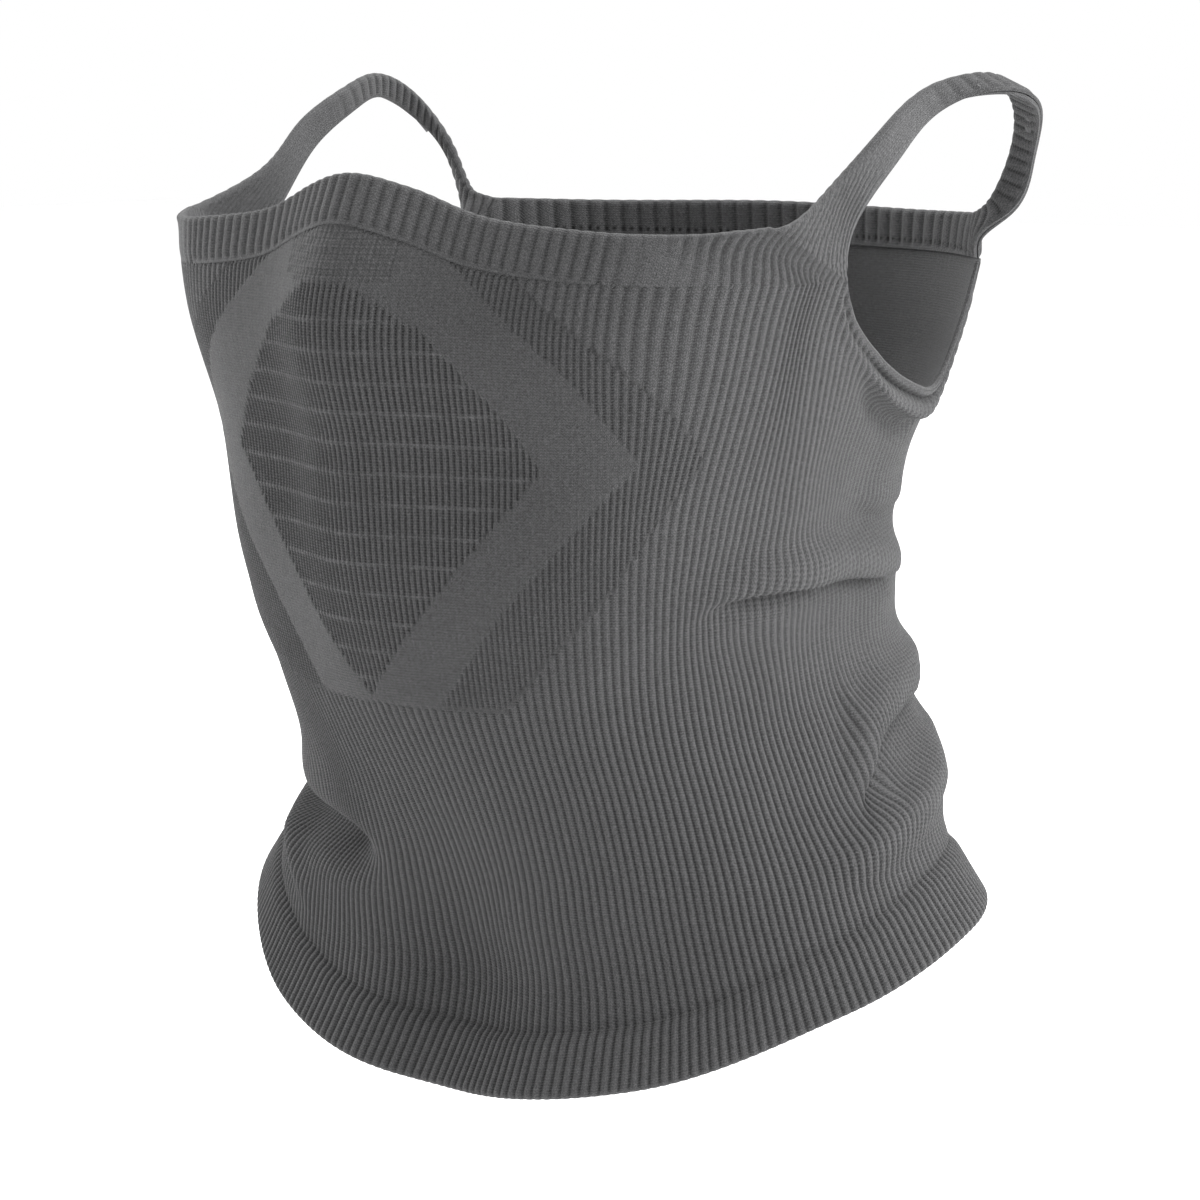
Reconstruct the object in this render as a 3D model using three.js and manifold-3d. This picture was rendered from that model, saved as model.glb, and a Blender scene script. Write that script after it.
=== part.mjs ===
// A neck and face gaiter with two ear loops, knitted as one tube.
// Millimetres, +Z up. The face looks along -Y and the wearer's left is +X.
// The origin lies midway between the two ear openings, at the height of the ear canals.

import * as THREE from 'three';
import { mergeVertices } from 'three/addons/utils/BufferGeometryUtils.js';
import Module from 'manifold-3d';

const wasm = await Module();
wasm.setup();

// ---------------------------------------------------------------- driving dimensions

// Body sections from the top down: height, half width, front depth, rear depth,
// squareness of the front half (2 is an ellipse) and height of the ridge down its middle.
const SECTIONS = [
  [15, 85, 80, 56, 3.2, 8],
  [-10, 76, 87, 58, 3.1, 10.5],
  [-35, 69.5, 83.5, 57, 2.95, 9],
  [-60, 65, 83, 56, 2.85, 6.5],
  [-85, 61.5, 79, 55, 2.4, 2.5],
  [-105, 67, 71, 50, 2.1, -1],
  [-125, 77, 63.5, 45, 2, -5],
  [-145, 91, 60, 44, 1.95, -7],
  [-165, 101, 68, 49, 2, -4],
  [-190, 108, 76, 54, 2.05, 0],
];
const RIDGE_WIDTH = 16;

// Places round the tube are shares of its girth, from 0 at the front to 0.5 at the nape.
// Each line below is [share of the girth, height].
const NOSE_TOP = [[0, 17.2], [0.025, 14.8], [0.055, 9.9], [0.09, 7.8], [0.13, 6.7], [0.157, 7.6]];
const NAPE_TOP = [[0.366, 6.8], [0.42, 6.6], [0.5, 7.2]];
const TOP_SEAM = [
  [0, 7.7], [0.025, 5.3], [0.055, 0.6], [0.09, -1.6], [0.13, -2.6], [0.213, -3], [0.341, -2], [0.5, -1.8],
];
const HEM = [
  [0, -166.6], [0.1, -159.7], [0.19, -144.8], [0.263, -134.3], [0.321, -134.7], [0.4, -142.2], [0.5, -146.4],
];
const EAR_EDGE = [
  [0.2165, -6], [0.226, -11], [0.24, -16], [0.262, -22], [0.291, -26.5],
  [0.307, -25.5], [0.317, -19.5], [0.3235, -15], [0.333, -9], [0.338, -5],
];

// Ear loop: the tube's top edge and the ear-opening edge, paired, from the front foot to the rear.
const LOOP_TOP = [
  [73.5, -35.5, 14.5], [75, -20, 25], [75.5, -3.5, 33], [78, 8, 35.5], [78.5, 21, 32.5], [73.5, 31, 19.5],
];
const LOOP_EAR = [
  [74, -28.5, 7], [75.7, -15.3, 19.5], [76.7, 0.3, 28.5], [83.2, 9.7, 32], [84.8, 22, 29.5], [78.5, 32, 17.4],
];

// Knit zones of the face panel, as corners on the wearer's left; the right side mirrors them.
const MESH_ZONE = [[0.012, -7], [0.086, -37], [0, -81.5]];
const FRAME_ZONE = [[0.047, 20], [0.047, 2], [0.13, -36], [0.052, -84.5]];
const FINE_ZONE = [[0.072, 20], [0.072, 0], [0.148, -35], [0.066, -84.5]];
const PATCH_ZONE = [[0.036, 20], [0.036, -4]];

const KNIT = 1.4; // thickness of the single knit
const LAYER = 0.8; // one layer of a turned welt
const HOLLOW = 1.3; // space between the two layers of a welt
const FOLD = 0.9; // thickness of the welt at its fold
const WELT_PROUD = 0.75; // how far a welt stands outside the knit
const YARN = 0.7; // thickness of a laid-in elastic yarn
const YARN_WIDTH = 1.2;
const BOTTOM_BAND = 11.5; // height of the bottom welt
const STITCH = 0.9; // height of a linking row
const GAP = 0.3; // clearance between neighbouring pieces
const ROLL_RADIUS = 1.4; // rolled edge of the ear opening

// Ear loop hinge: the line through the loop's two feet.
const FRONT_FOOT = new THREE.Vector3(74, -33, 8);
const REAR_FOOT = new THREE.Vector3(66, 34.5, 4);
const FOOT_RADIUS = 6.4;

// The ribbed body is split here into front, sides and nape, so that each bends little.
const FRONT_SPLIT = -36;
const REAR_SPLIT = 27;

const COLUMNS = 64; // facets round the tube
const ROWS = 9; // facets down the tube
const GIRTH_SAMPLES = 180;

// ---------------------------------------------------------------- smooth curves

// Cubic curve through (xs, ys); each slope comes from the two neighbouring points.
function smooth(xs, ys, x) {
  const last = xs.length - 1;
  const slope = (i) => {
    const a = Math.max(i - 1, 0);
    const b = Math.min(i + 1, last);
    return (ys[b] - ys[a]) / (xs[b] - xs[a]);
  };
  let i = 0;
  while (i < last - 1 && x > xs[i + 1]) i += 1;
  const h = xs[i + 1] - xs[i];
  const u = (x - xs[i]) / h;
  const rise = u * u * (3 - 2 * u);
  const pull = slope(i) * (u ** 3 - 2 * u * u + u) + slope(i + 1) * (u ** 3 - u * u);
  return ys[i] * (1 - rise) + ys[i + 1] * rise + pull * h;
}

// Height at a share of the girth, for a line that mirrors about the front and the nape.
function heightAlong(line, share) {
  const s = Math.abs(share);
  const [first, second] = line;
  const opened = first[0] === 0 ? [[-second[0], second[1]], ...line] : line;
  const end = opened[opened.length - 1];
  const before = opened[opened.length - 2];
  const whole = end[0] === 0.5 ? [...opened, [1 - before[0], before[1]]] : opened;
  return smooth(whole.map((p) => p[0]), whole.map((p) => p[1]), s);
}

// ---------------------------------------------------------------- the tube's wall

const RISING = [...SECTIONS].reverse();
const sectionHeights = RISING.map((row) => row[0]);
const sectionAt = (z, column) => smooth(sectionHeights, RISING.map((row) => row[column]), z);

// Points of one half of the girth, front to nape, with the length run up to each.
const halfGirths = new Map();
function halfGirth(z) {
  const key = z.toFixed(2);
  if (halfGirths.has(key)) return halfGirths.get(key);
  const [width, front, rear, square, ridge] = [1, 2, 3, 4, 5].map((column) => sectionAt(z, column));
  const points = [];
  const runs = [0];
  for (let i = 0; i <= GIRTH_SAMPLES; i += 1) {
    const turn = (Math.PI * i) / GIRTH_SAMPLES;
    const ahead = i * 2 < GIRTH_SAMPLES;
    const power = ahead ? 2 / square : 1;
    const across = Math.sin(turn);
    const along = Math.abs(Math.cos(turn));
    const x = width * across ** power;
    const y = ahead ? -front * along ** power - ridge * Math.exp(-((x / RIDGE_WIDTH) ** 2)) : rear * along;
    points.push([x, y]);
    if (i > 0) runs.push(runs[i - 1] + Math.hypot(x - points[i - 1][0], y - points[i - 1][1]));
  }
  const half = { points, runs };
  halfGirths.set(key, half);
  return half;
}

// Point of the wall's outer face at a share of the girth and a height.
function wallPoint(share, z) {
  const { points, runs } = halfGirth(z);
  const wrapped = share - Math.round(share);
  const run = Math.abs(wrapped) * 2 * runs[GIRTH_SAMPLES];
  let low = 0;
  let high = GIRTH_SAMPLES;
  while (high - low > 1) {
    const middle = (low + high) >> 1;
    if (runs[middle] <= run) low = middle;
    else high = middle;
  }
  const t = (run - runs[low]) / (runs[high] - runs[low]);
  const x = points[low][0] + t * (points[high][0] - points[low][0]);
  const y = points[low][1] + t * (points[high][1] - points[low][1]);
  return new THREE.Vector3(wrapped < 0 ? -x : x, y, z);
}

// The same point moved along the wall's outward normal.
function wallOffset(share, z, out) {
  const step = 0.006;
  const rise = 1.5;
  const along = wallPoint(share + step, z).sub(wallPoint(share - step, z));
  const up = wallPoint(share, z + rise).sub(wallPoint(share, z - rise));
  return wallPoint(share, z).addScaledVector(along.cross(up).normalize(), out);
}

// ---------------------------------------------------------------- solids

// Closed geometry from points and triangles, turned so that its faces look outward.
function closedGeometry(points, triangles) {
  let volume = 0;
  const normal = new THREE.Vector3();
  triangles.forEach(([a, b, c]) => {
    volume += points[a].dot(normal.crossVectors(points[b], points[c]));
  });
  const turned = volume < 0 ? triangles.map(([a, b, c]) => [a, c, b]) : triangles;
  const geometry = new THREE.BufferGeometry();
  const flat = points.flatMap((p) => [p.x, p.y, p.z]);
  geometry.setAttribute('position', new THREE.Float32BufferAttribute(flat, 3));
  geometry.setIndex(turned.flat());
  return geometry;
}

// Sweeps a closed section through a row of stations. Each station gives the section's corners;
// caps lists the triangles that close an end. A ring has no ends.
function sweep(stations, caps, ring) {
  const sides = stations[0].length;
  const count = stations.length;
  const triangles = [];
  for (let i = 0; i < (ring ? count : count - 1); i += 1) {
    const next = (i + 1) % count;
    for (let j = 0; j < sides; j += 1) {
      const k = (j + 1) % sides;
      const [a, b, c, d] = [i * sides + j, next * sides + j, next * sides + k, i * sides + k];
      triangles.push([a, b, c], [a, c, d]);
    }
  }
  if (!ring) {
    const last = (count - 1) * sides;
    caps.forEach(([a, b, c]) => triangles.push([a, b, c], [last + a, last + c, last + b]));
  }
  return closedGeometry(stations.flat(), triangles);
}

const RECTANGLE_CAPS = [[0, 1, 2], [0, 2, 3]];
const WELT_CAPS = [[0, 1, 6], [0, 6, 7], [1, 2, 5], [1, 5, 6], [2, 3, 4], [2, 4, 5]];

// A band of knit round the whole tube between two heights that vary with the girth.
function ringBand(low, high, outer, inner, rows) {
  const stations = [];
  for (let i = 0; i < COLUMNS; i += 1) {
    const share = i / COLUMNS - 0.5;
    const heights = Array.from({ length: rows + 1 }, (_, j) => {
      return THREE.MathUtils.lerp(low(share), high(share), j / rows);
    });
    const outside = heights.map((z) => wallOffset(share, z, outer));
    const inside = heights.map((z) => wallOffset(share, z, inner)).reverse();
    stations.push([...outside, ...inside]);
  }
  return sweep(stations, [], true);
}

// A strip in a seam, on part of the girth.
function seamStrip(from, to, count, low, high, outer, inner) {
  const stations = Array.from({ length: count + 1 }, (_, i) => {
    const share = THREE.MathUtils.lerp(from, to, i / count);
    return [[low, outer], [high, outer], [high, inner], [low, inner]].map(([height, out]) => {
      return wallOffset(share, height(share), out);
    });
  });
  return sweep(stations, RECTANGLE_CAPS, false);
}

// Adds to each pair {fold, seam} its outward direction and its direction from seam to fold.
function withFrames(pairs, ring) {
  const count = pairs.length;
  const middle = ({ fold, seam }) => fold.clone().add(seam).multiplyScalar(0.5);
  return pairs.map((pair, i) => {
    const before = ring ? (i + count - 1) % count : Math.max(i - 1, 0);
    const after = ring ? (i + 1) % count : Math.min(i + 1, count - 1);
    const along = middle(pairs[after]).sub(middle(pairs[before]));
    const rise = pair.fold.clone().sub(pair.seam);
    const out = along.clone().cross(rise).normalize();
    return { ...pair, out: pair.out ?? out, width: rise.length(), rise: rise.clone().normalize() };
  });
}

const place = (frame, out, up) => {
  return frame.seam.clone().addScaledVector(frame.out, out).addScaledVector(frame.rise, up);
};

// A turned welt: knit folded double along its free edge, open towards its seam.
function welt(frames, ring = false) {
  const outer = WELT_PROUD;
  const inner = WELT_PROUD - 2 * LAYER - HOLLOW;
  return sweep(frames.map((frame) => [
    place(frame, outer, 0),
    place(frame, outer, frame.width),
    place(frame, inner, frame.width),
    place(frame, inner, 0),
    place(frame, inner + LAYER, 0),
    place(frame, inner + LAYER, frame.width - FOLD),
    place(frame, outer - LAYER, frame.width - FOLD),
    place(frame, outer - LAYER, 0),
  ]), WELT_CAPS, ring);
}

// An elastic yarn laid along the hollow of a welt.
function laidYarn(frames, ring = false) {
  const outer = WELT_PROUD - LAYER - (HOLLOW - YARN) / 2;
  const inner = outer - YARN;
  return sweep(frames.map((frame) => {
    const low = (frame.width - FOLD - YARN_WIDTH) / 2;
    const high = low + YARN_WIDTH;
    return [place(frame, outer, low), place(frame, outer, high), place(frame, inner, high),
      place(frame, inner, low)];
  }), RECTANGLE_CAPS, ring);
}

function mirrored(geometry) {
  const copy = geometry.clone();
  copy.scale(-1, 1, 1);
  const index = copy.getIndex();
  for (let i = 0; i < index.count; i += 3) {
    const b = index.getX(i + 1);
    index.setX(i + 1, index.getX(i + 2));
    index.setX(i + 2, b);
  }
  return copy;
}

// ---------------------------------------------------------------- cuts and joins

// The same surface with only its positions, and one vertex at each place.
function joined(geometry) {
  const bare = geometry.clone();
  bare.deleteAttribute('normal');
  bare.deleteAttribute('uv');
  return mergeVertices(bare, 1e-4);
}

function solidOf(geometry) {
  const merged = joined(geometry);
  return new wasm.Manifold(new wasm.Mesh({
    numProp: 3,
    vertProperties: new Float32Array(merged.getAttribute('position').array),
    triVerts: new Uint32Array(merged.getIndex().array),
  }));
}

function geometryOf(solid) {
  const mesh = solid.getMesh();
  const geometry = new THREE.BufferGeometry();
  const positions = new Float32Array(mesh.vertProperties);
  geometry.setAttribute('position', new THREE.BufferAttribute(positions, 3));
  geometry.setIndex(new THREE.BufferAttribute(new Uint32Array(mesh.triVerts), 1));
  return geometry;
}

const cut = (solid, tools) => tools.reduce((left, tool) => left.subtract(tool), solid);

// The parts of a solid ahead of and behind a plane across the body, with a gap between them.
function splitAcross(solid, y) {
  return [-1, 1].map((side) => {
    const size = 400;
    const box = new THREE.BoxGeometry(size, size, size);
    box.translate(0, y + side * (size / 2 + GAP / 2), 0);
    return solid.intersect(solidOf(box));
  });
}

// A solid's separate bodies, from the wearer's right to the left.
const fromRight = (solid) => {
  return solid.decompose().sort((a, b) => a.boundingBox().min[0] - b.boundingBox().min[0]);
};

// Outline moved outward by a distance, for an outline that runs anticlockwise.
function grown(outline, distance) {
  const count = outline.length;
  return outline.map((point, i) => {
    const before = outline[(i + count - 1) % count];
    const after = outline[(i + 1) % count];
    const side = new THREE.Vector2(after.y - before.y, before.x - after.x).normalize();
    return point.clone().addScaledVector(side, distance);
  });
}

// Prism along Y over a zone of the face panel, whose corners are given on the wearer's left.
function zonePrism(corners, margin) {
  const steps = 5;
  const depth = 130;
  const left = [];
  for (let i = 0; i < corners.length - 1; i += 1) {
    for (let j = 0; j < steps; j += 1) {
      const t = j / steps;
      const share = THREE.MathUtils.lerp(corners[i][0], corners[i + 1][0], t);
      const z = THREE.MathUtils.lerp(corners[i][1], corners[i + 1][1], t);
      left.push(new THREE.Vector2(wallPoint(share, z).x, z));
    }
  }
  const [endShare, endHeight] = corners[corners.length - 1];
  left.push(new THREE.Vector2(wallPoint(endShare, endHeight).x, endHeight));
  const right = left.filter((p) => p.x > 1e-6).map((p) => new THREE.Vector2(-p.x, p.y));
  const outline = grown([...left.reverse(), ...right], margin);
  const prism = new THREE.ExtrudeGeometry(new THREE.Shape(outline), { depth, bevelEnabled: false });
  prism.rotateX(Math.PI / 2);
  return solidOf(prism);
}

// Prism along X through the wearer's left ear opening.
function earPrism() {
  const steps = 30;
  const reach = 40;
  const top = 20;
  const curve = earCurve();
  const edge = Array.from({ length: steps + 1 }, (_, i) => curve.getPoint(i / steps));
  const outline = edge.map((p) => new THREE.Vector2(p.y, p.z));
  outline.push(new THREE.Vector2(edge[steps].y, top), new THREE.Vector2(edge[0].y, top));
  const prism = new THREE.ExtrudeGeometry(new THREE.Shape(outline), { depth: reach, bevelEnabled: false });
  prism.rotateX(Math.PI / 2);
  prism.rotateZ(Math.PI / 2);
  prism.translate(edge[0].x - reach / 2, 0, 0);
  return prism;
}

function earCurve() {
  const middle = -KNIT / 2;
  return new THREE.CatmullRomCurve3(EAR_EDGE.map(([share, z]) => wallOffset(share, z, middle)));
}

// Round bead along the edge of the wearer's left ear opening.
function earBead(radius) {
  const circle = new THREE.Shape();
  circle.absarc(0, 0, radius, 0, 2 * Math.PI);
  return new THREE.ExtrudeGeometry(circle, {
    extrudePath: earCurve(), steps: 24, curveSegments: 4, bevelEnabled: false,
  });
}

// Everything above the wearer's left hinge line near the ear, apart from a round hub on that line.
function swingRoom(hubRadius, frontLimit, rearLimit, innerLimit) {
  const size = 90;
  const box = new THREE.BoxGeometry(size, rearLimit - frontLimit, size);
  box.translate(innerLimit + size / 2, (rearLimit + frontLimit) / 2, size / 2);
  const axis = REAR_FOOT.clone().sub(FRONT_FOOT).normalize();
  const slope = axis.z / axis.y;
  const lift = FRONT_FOOT.z - slope * FRONT_FOOT.y;
  box.applyMatrix4(new THREE.Matrix4().set(1, 0, 0, 0, 0, 1, 0, 0, 0, slope, 1, lift, 0, 0, 0, 1));
  const hub = new THREE.CylinderGeometry(hubRadius, hubRadius, 2 * size, 40);
  hub.applyQuaternion(new THREE.Quaternion().setFromUnitVectors(new THREE.Vector3(0, 1, 0), axis));
  hub.translate(...FRONT_FOOT.clone().add(REAR_FOOT).multiplyScalar(0.5).toArray());
  return { room: solidOf(box), hub: solidOf(hub) };
}

// ---------------------------------------------------------------- the welts' edge lines

const seamHeight = (share) => heightAlong(TOP_SEAM, share);
const hemHeight = (share) => heightAlong(HEM, share);
const noseTop = (share) => heightAlong(NOSE_TOP, share);
const napeTop = (share) => heightAlong(NAPE_TOP, share);
const FRONT_CORNER = TOP_SEAM[5];
const REAR_CORNER = TOP_SEAM[6];
const NOSE_END = NOSE_TOP[NOSE_TOP.length - 1];
const NAPE_START = NAPE_TOP[0];
const LOOP_SPANS = LOOP_TOP.length + 1;

// The nose welt from the middle to the ear loop's front foot: its seam runs ahead of its top edge.
function nosePair(share) {
  const lead = THREE.MathUtils.smoothstep(share, 0.11, NOSE_END[0]);
  const seamShare = share + lead * (FRONT_CORNER[0] - NOSE_END[0]);
  return { fold: wallPoint(share, noseTop(share)), seam: wallPoint(seamShare, seamHeight(seamShare)) };
}

// The nape welt from the ear loop's rear foot to the middle of the nape.
function napePair(share) {
  const lag = 1 - THREE.MathUtils.smoothstep(share, NAPE_START[0], 0.41);
  const seamShare = share - lag * (NAPE_START[0] - REAR_CORNER[0]);
  return { fold: wallPoint(share, napeTop(share)), seam: wallPoint(seamShare, seamHeight(seamShare)) };
}

// The ear loop from its front foot, at 0, to its rear foot, at LOOP_SPANS.
const vectors = (rows) => rows.map((row) => new THREE.Vector3(...row));
const LOOP_FOLDS = [wallPoint(...NOSE_END), ...vectors(LOOP_TOP), wallPoint(...NAPE_START)];
const LOOP_SEAMS = [wallPoint(...FRONT_CORNER), ...vectors(LOOP_EAR), new THREE.Vector3(68.5, 31.5, 1.5)];
const loopSteps = LOOP_FOLDS.map((_, i) => i);
function loopPair(position) {
  const along = (points, axis) => smooth(loopSteps, points.map((p) => p[axis]), position);
  const at = (points) => new THREE.Vector3(along(points, 'x'), along(points, 'y'), along(points, 'z'));
  return { fold: at(LOOP_FOLDS), seam: at(LOOP_SEAMS) };
}

const series = (from, to, count, make) => {
  return Array.from({ length: count + 1 }, (_, i) => make(THREE.MathUtils.lerp(from, to, i / count)));
};
const flip = (pair) => {
  return { fold: pair.fold.clone().setX(-pair.fold.x), seam: pair.seam.clone().setX(-pair.seam.x) };
};

// ---------------------------------------------------------------- pieces

const shell = solidOf(ringBand(
  (s) => hemHeight(s) + BOTTOM_BAND + STITCH + 2 * GAP,
  (s) => seamHeight(s) - STITCH - 2 * GAP,
  0, -KNIT, ROWS,
));
const bead = earBead(ROLL_RADIUS);
const beadRoom = solidOf(earBead(ROLL_RADIUS + GAP));
const opening = earPrism();
const bothSides = (solid) => [solid, solid.scale([-1, 1, 1])];
const earCuts = [...bothSides(solidOf(opening)), ...bothSides(beadRoom)];

const ribBody = cut(shell, [zonePrism(FINE_ZONE, GAP), ...earCuts]);
const [ribFront, ribRest] = splitAcross(ribBody, FRONT_SPLIT);
const [ribSides, ribNape] = splitAcross(ribRest, REAR_SPLIT);
const [ribRight, ribLeft] = fromRight(ribSides);
const meshFrame = cut(shell.intersect(zonePrism(FRAME_ZONE, 0)), [
  zonePrism(MESH_ZONE, GAP), zonePrism(PATCH_ZONE, GAP),
]);
const mouthMesh = shell.intersect(zonePrism(MESH_ZONE, 0));
const nosePatch = shell.intersect(zonePrism(PATCH_ZONE, 0));
const fineRibs = cut(shell.intersect(zonePrism(FINE_ZONE, 0)), [zonePrism(FRAME_ZONE, GAP)]);
const [fineRight, fineLeft] = fromRight(fineRibs);

// Welts. The nose and nape welts run up into the ear loops' feet and end in round hubs there.
const FOOT_STUB = 1.7; // how far the front foot runs along the loop
const YARN_SHORT = { nose: 11, nape: 8, loop: 5 }; // stations by which each yarn stops short of its welt
const frontStub = series(0, FOOT_STUB, 8, loopPair).slice(1);
const rearStub = series(LOOP_SPANS - 1, LOOP_SPANS, 6, loopPair).slice(0, -1);
const noseHalf = [...series(0, NOSE_END[0], 14, nosePair), ...frontStub];
const napeHalf = [...rearStub, ...series(NAPE_START[0], 0.5, 12, napePair)];
const nosePairs = [...noseHalf.slice(1).map(flip).reverse(), ...noseHalf];
const napePairs = [...napeHalf, ...napeHalf.slice(0, -1).map(flip).reverse()];
const frontSwing = swingRoom(FOOT_RADIUS, -52, 20, 50);
const rearSwing = swingRoom(FOOT_RADIUS, 10, 44, 60);
const noseFrames = withFrames(nosePairs);
const napeFrames = withFrames(napePairs);
const noseBand = cut(solidOf(welt(noseFrames)), bothSides(cut(frontSwing.room, [frontSwing.hub])));
const napeBand = cut(solidOf(welt(napeFrames)), bothSides(cut(rearSwing.room, [rearSwing.hub])));

const hemPairs = Array.from({ length: COLUMNS }, (_, i) => {
  const share = i / COLUMNS - 0.5;
  return { fold: wallPoint(share, hemHeight(share)), seam: wallPoint(share, hemHeight(share) + BOTTOM_BAND) };
});
const hemFrames = withFrames(hemPairs.reverse(), true);

// Ear loops, with a flat stretch at the top where the loop rests on the ear.
const REST = 3.9; // place of the flat stretch along the loop
const REST_HALF = 0.22;
const loopPairs = [
  ...series(0.4, REST - REST_HALF, 13, loopPair),
  ...series(REST + REST_HALF, LOOP_SPANS, 11, loopPair),
];
const restIndex = 13;
const rest = loopPair(REST);
const restWidth = rest.seam.clone().sub(rest.fold);
const restAlong = loopPair(REST + REST_HALF).fold.sub(loopPair(REST - REST_HALF).fold);
const restOut = restWidth.clone().cross(restAlong).normalize();
[restIndex, restIndex + 1].forEach((i, side) => {
  const fold = rest.fold.clone().addScaledVector(restAlong, side - 0.5);
  loopPairs[i] = { fold, seam: fold.clone().add(restWidth), out: restOut };
});
const loopFrames = withFrames(loopPairs);
const loopSwing = swingRoom(FOOT_RADIUS + GAP, -60, 60, 40);
const loopSolid = cut(solidOf(welt(loopFrames)).intersect(loopSwing.room), [loopSwing.hub]);
const loopYarn = laidYarn(loopFrames.slice(YARN_SHORT.loop, -YARN_SHORT.loop));

const stitchLow = (s) => seamHeight(s) - STITCH - GAP;
const stitchHigh = (s) => seamHeight(s) - GAP;
const hemStitchLow = (s) => hemHeight(s) + BOTTOM_BAND + GAP;
const hemStitchHigh = (s) => hemHeight(s) + BOTTOM_BAND + GAP + STITCH;

// ---------------------------------------------------------------- assembly

const material = (color, roughness) => new THREE.MeshStandardMaterial({ color, roughness, metalness: 0 });
const ribKnit = material(0x5f5f60, 0.92);
const plainKnit = material(0x666667, 0.88);
const meshKnit = material(0x545455, 0.94);
const weltKnit = material(0x626263, 0.9);
const edgeKnit = material(0x6c6c6d, 0.88);
const linkingYarn = material(0x2c2c2d, 0.8);
const elasticYarn = material(0x77777a, 0.6);

const gaiter = new THREE.Group();
function add(name, geometry, finish) {
  const mesh = new THREE.Mesh(geometry, finish);
  mesh.name = name;
  gaiter.add(mesh);
}

add('rib_front', geometryOf(ribFront), ribKnit);
add('rib_side_left', geometryOf(ribLeft), ribKnit);
add('rib_side_right', geometryOf(ribRight), ribKnit);
add('rib_nape', geometryOf(ribNape), ribKnit);
add('mouth_mesh', geometryOf(mouthMesh), meshKnit);
add('mesh_frame', geometryOf(meshFrame), plainKnit);
add('nose_mesh_patch', geometryOf(nosePatch), meshKnit);
add('fine_rib_left', geometryOf(fineLeft), ribKnit);
add('fine_rib_right', geometryOf(fineRight), ribKnit);
add('nose_band', geometryOf(noseBand), weltKnit);
add('nape_band', geometryOf(napeBand), weltKnit);
add('bottom_band', welt(hemFrames, true), weltKnit);
add('nose_band_stitching', seamStrip(-0.205, 0.205, 40, stitchLow, stitchHigh, 0, -KNIT), linkingYarn);
add('nape_band_stitching', seamStrip(0.35, 0.65, 28, stitchLow, stitchHigh, 0, -KNIT), linkingYarn);
add('bottom_band_stitching', ringBand(hemStitchLow, hemStitchHigh, 0, -KNIT, 1), linkingYarn);
add('nose_band_elastic', laidYarn(noseFrames.slice(YARN_SHORT.nose, -YARN_SHORT.nose)), elasticYarn);
add('nape_band_elastic', laidYarn(napeFrames.slice(YARN_SHORT.nape, -YARN_SHORT.nape)), elasticYarn);
add('bottom_band_elastic', laidYarn(hemFrames, true), elasticYarn);

[['left', (geometry) => geometry], ['right', mirrored]].forEach(([side, place]) => {
  add(`ear_loop_${side}`, place(geometryOf(loopSolid)), weltKnit);
  add(`ear_loop_elastic_${side}`, place(loopYarn), elasticYarn);
  add(`ear_edge_${side}`, place(joined(bead)), edgeKnit);
});

export default gaiter;
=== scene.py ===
"""Looks of a knitted neck gaiter: every knit zone, welt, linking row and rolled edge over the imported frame.

All lengths are in millimetres until a mesh is made. The frame's origin lies midway between the ear
openings, with +Z up and the face looking along -Y. Wales run down the cloth at a constant share of its
girth, from 0 at the front to 0.5 at the nape and positive on the wearer's left.
"""

import math

import bpy
import numpy as np
from mathutils import Matrix, Vector


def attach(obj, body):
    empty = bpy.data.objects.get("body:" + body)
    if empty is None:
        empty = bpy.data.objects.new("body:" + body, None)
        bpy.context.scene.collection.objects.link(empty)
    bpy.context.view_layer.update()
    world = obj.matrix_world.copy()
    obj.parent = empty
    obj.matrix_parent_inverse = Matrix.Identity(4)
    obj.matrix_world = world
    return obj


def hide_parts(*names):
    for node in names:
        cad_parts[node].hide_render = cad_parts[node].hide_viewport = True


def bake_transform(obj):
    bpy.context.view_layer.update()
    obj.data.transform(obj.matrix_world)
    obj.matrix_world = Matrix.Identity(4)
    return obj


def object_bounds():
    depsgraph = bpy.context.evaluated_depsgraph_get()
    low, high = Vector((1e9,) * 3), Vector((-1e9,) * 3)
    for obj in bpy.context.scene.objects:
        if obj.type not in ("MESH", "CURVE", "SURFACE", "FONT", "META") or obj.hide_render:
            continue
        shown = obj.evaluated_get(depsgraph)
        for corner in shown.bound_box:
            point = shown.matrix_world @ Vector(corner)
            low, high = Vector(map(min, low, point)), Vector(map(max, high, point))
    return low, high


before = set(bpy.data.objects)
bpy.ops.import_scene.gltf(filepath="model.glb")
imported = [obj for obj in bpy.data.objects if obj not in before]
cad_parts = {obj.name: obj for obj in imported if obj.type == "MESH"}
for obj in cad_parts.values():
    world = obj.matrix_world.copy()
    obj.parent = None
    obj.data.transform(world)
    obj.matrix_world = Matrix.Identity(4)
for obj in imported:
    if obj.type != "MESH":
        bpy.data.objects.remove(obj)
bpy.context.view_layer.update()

MM = 0.001

# ---------------------------------------------------------------- driving dimensions

# Body sections: height, half width, front depth, rear depth, squareness of the front, ridge height.
SECTIONS = [
    (25, 88, 76, 55, 3.2, 6),
    (15, 85, 80, 56, 3.2, 8),
    (-10, 76, 87, 58, 3.1, 10.5),
    (-35, 69.5, 83.5, 57, 2.95, 9),
    (-60, 65, 83, 56, 2.85, 6.5),
    (-85, 61.5, 79, 55, 2.4, 2.5),
    (-105, 67, 71, 50, 2.1, -1),
    (-125, 79.5, 63.5, 45, 2.0, -5),
    (-145, 92, 60, 44, 1.95, -7),
    (-165, 100, 67, 49, 2.0, -4),
    (-190, 108, 76, 54, 2.05, 0),
]
RIDGE_WIDTH = 16

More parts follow.
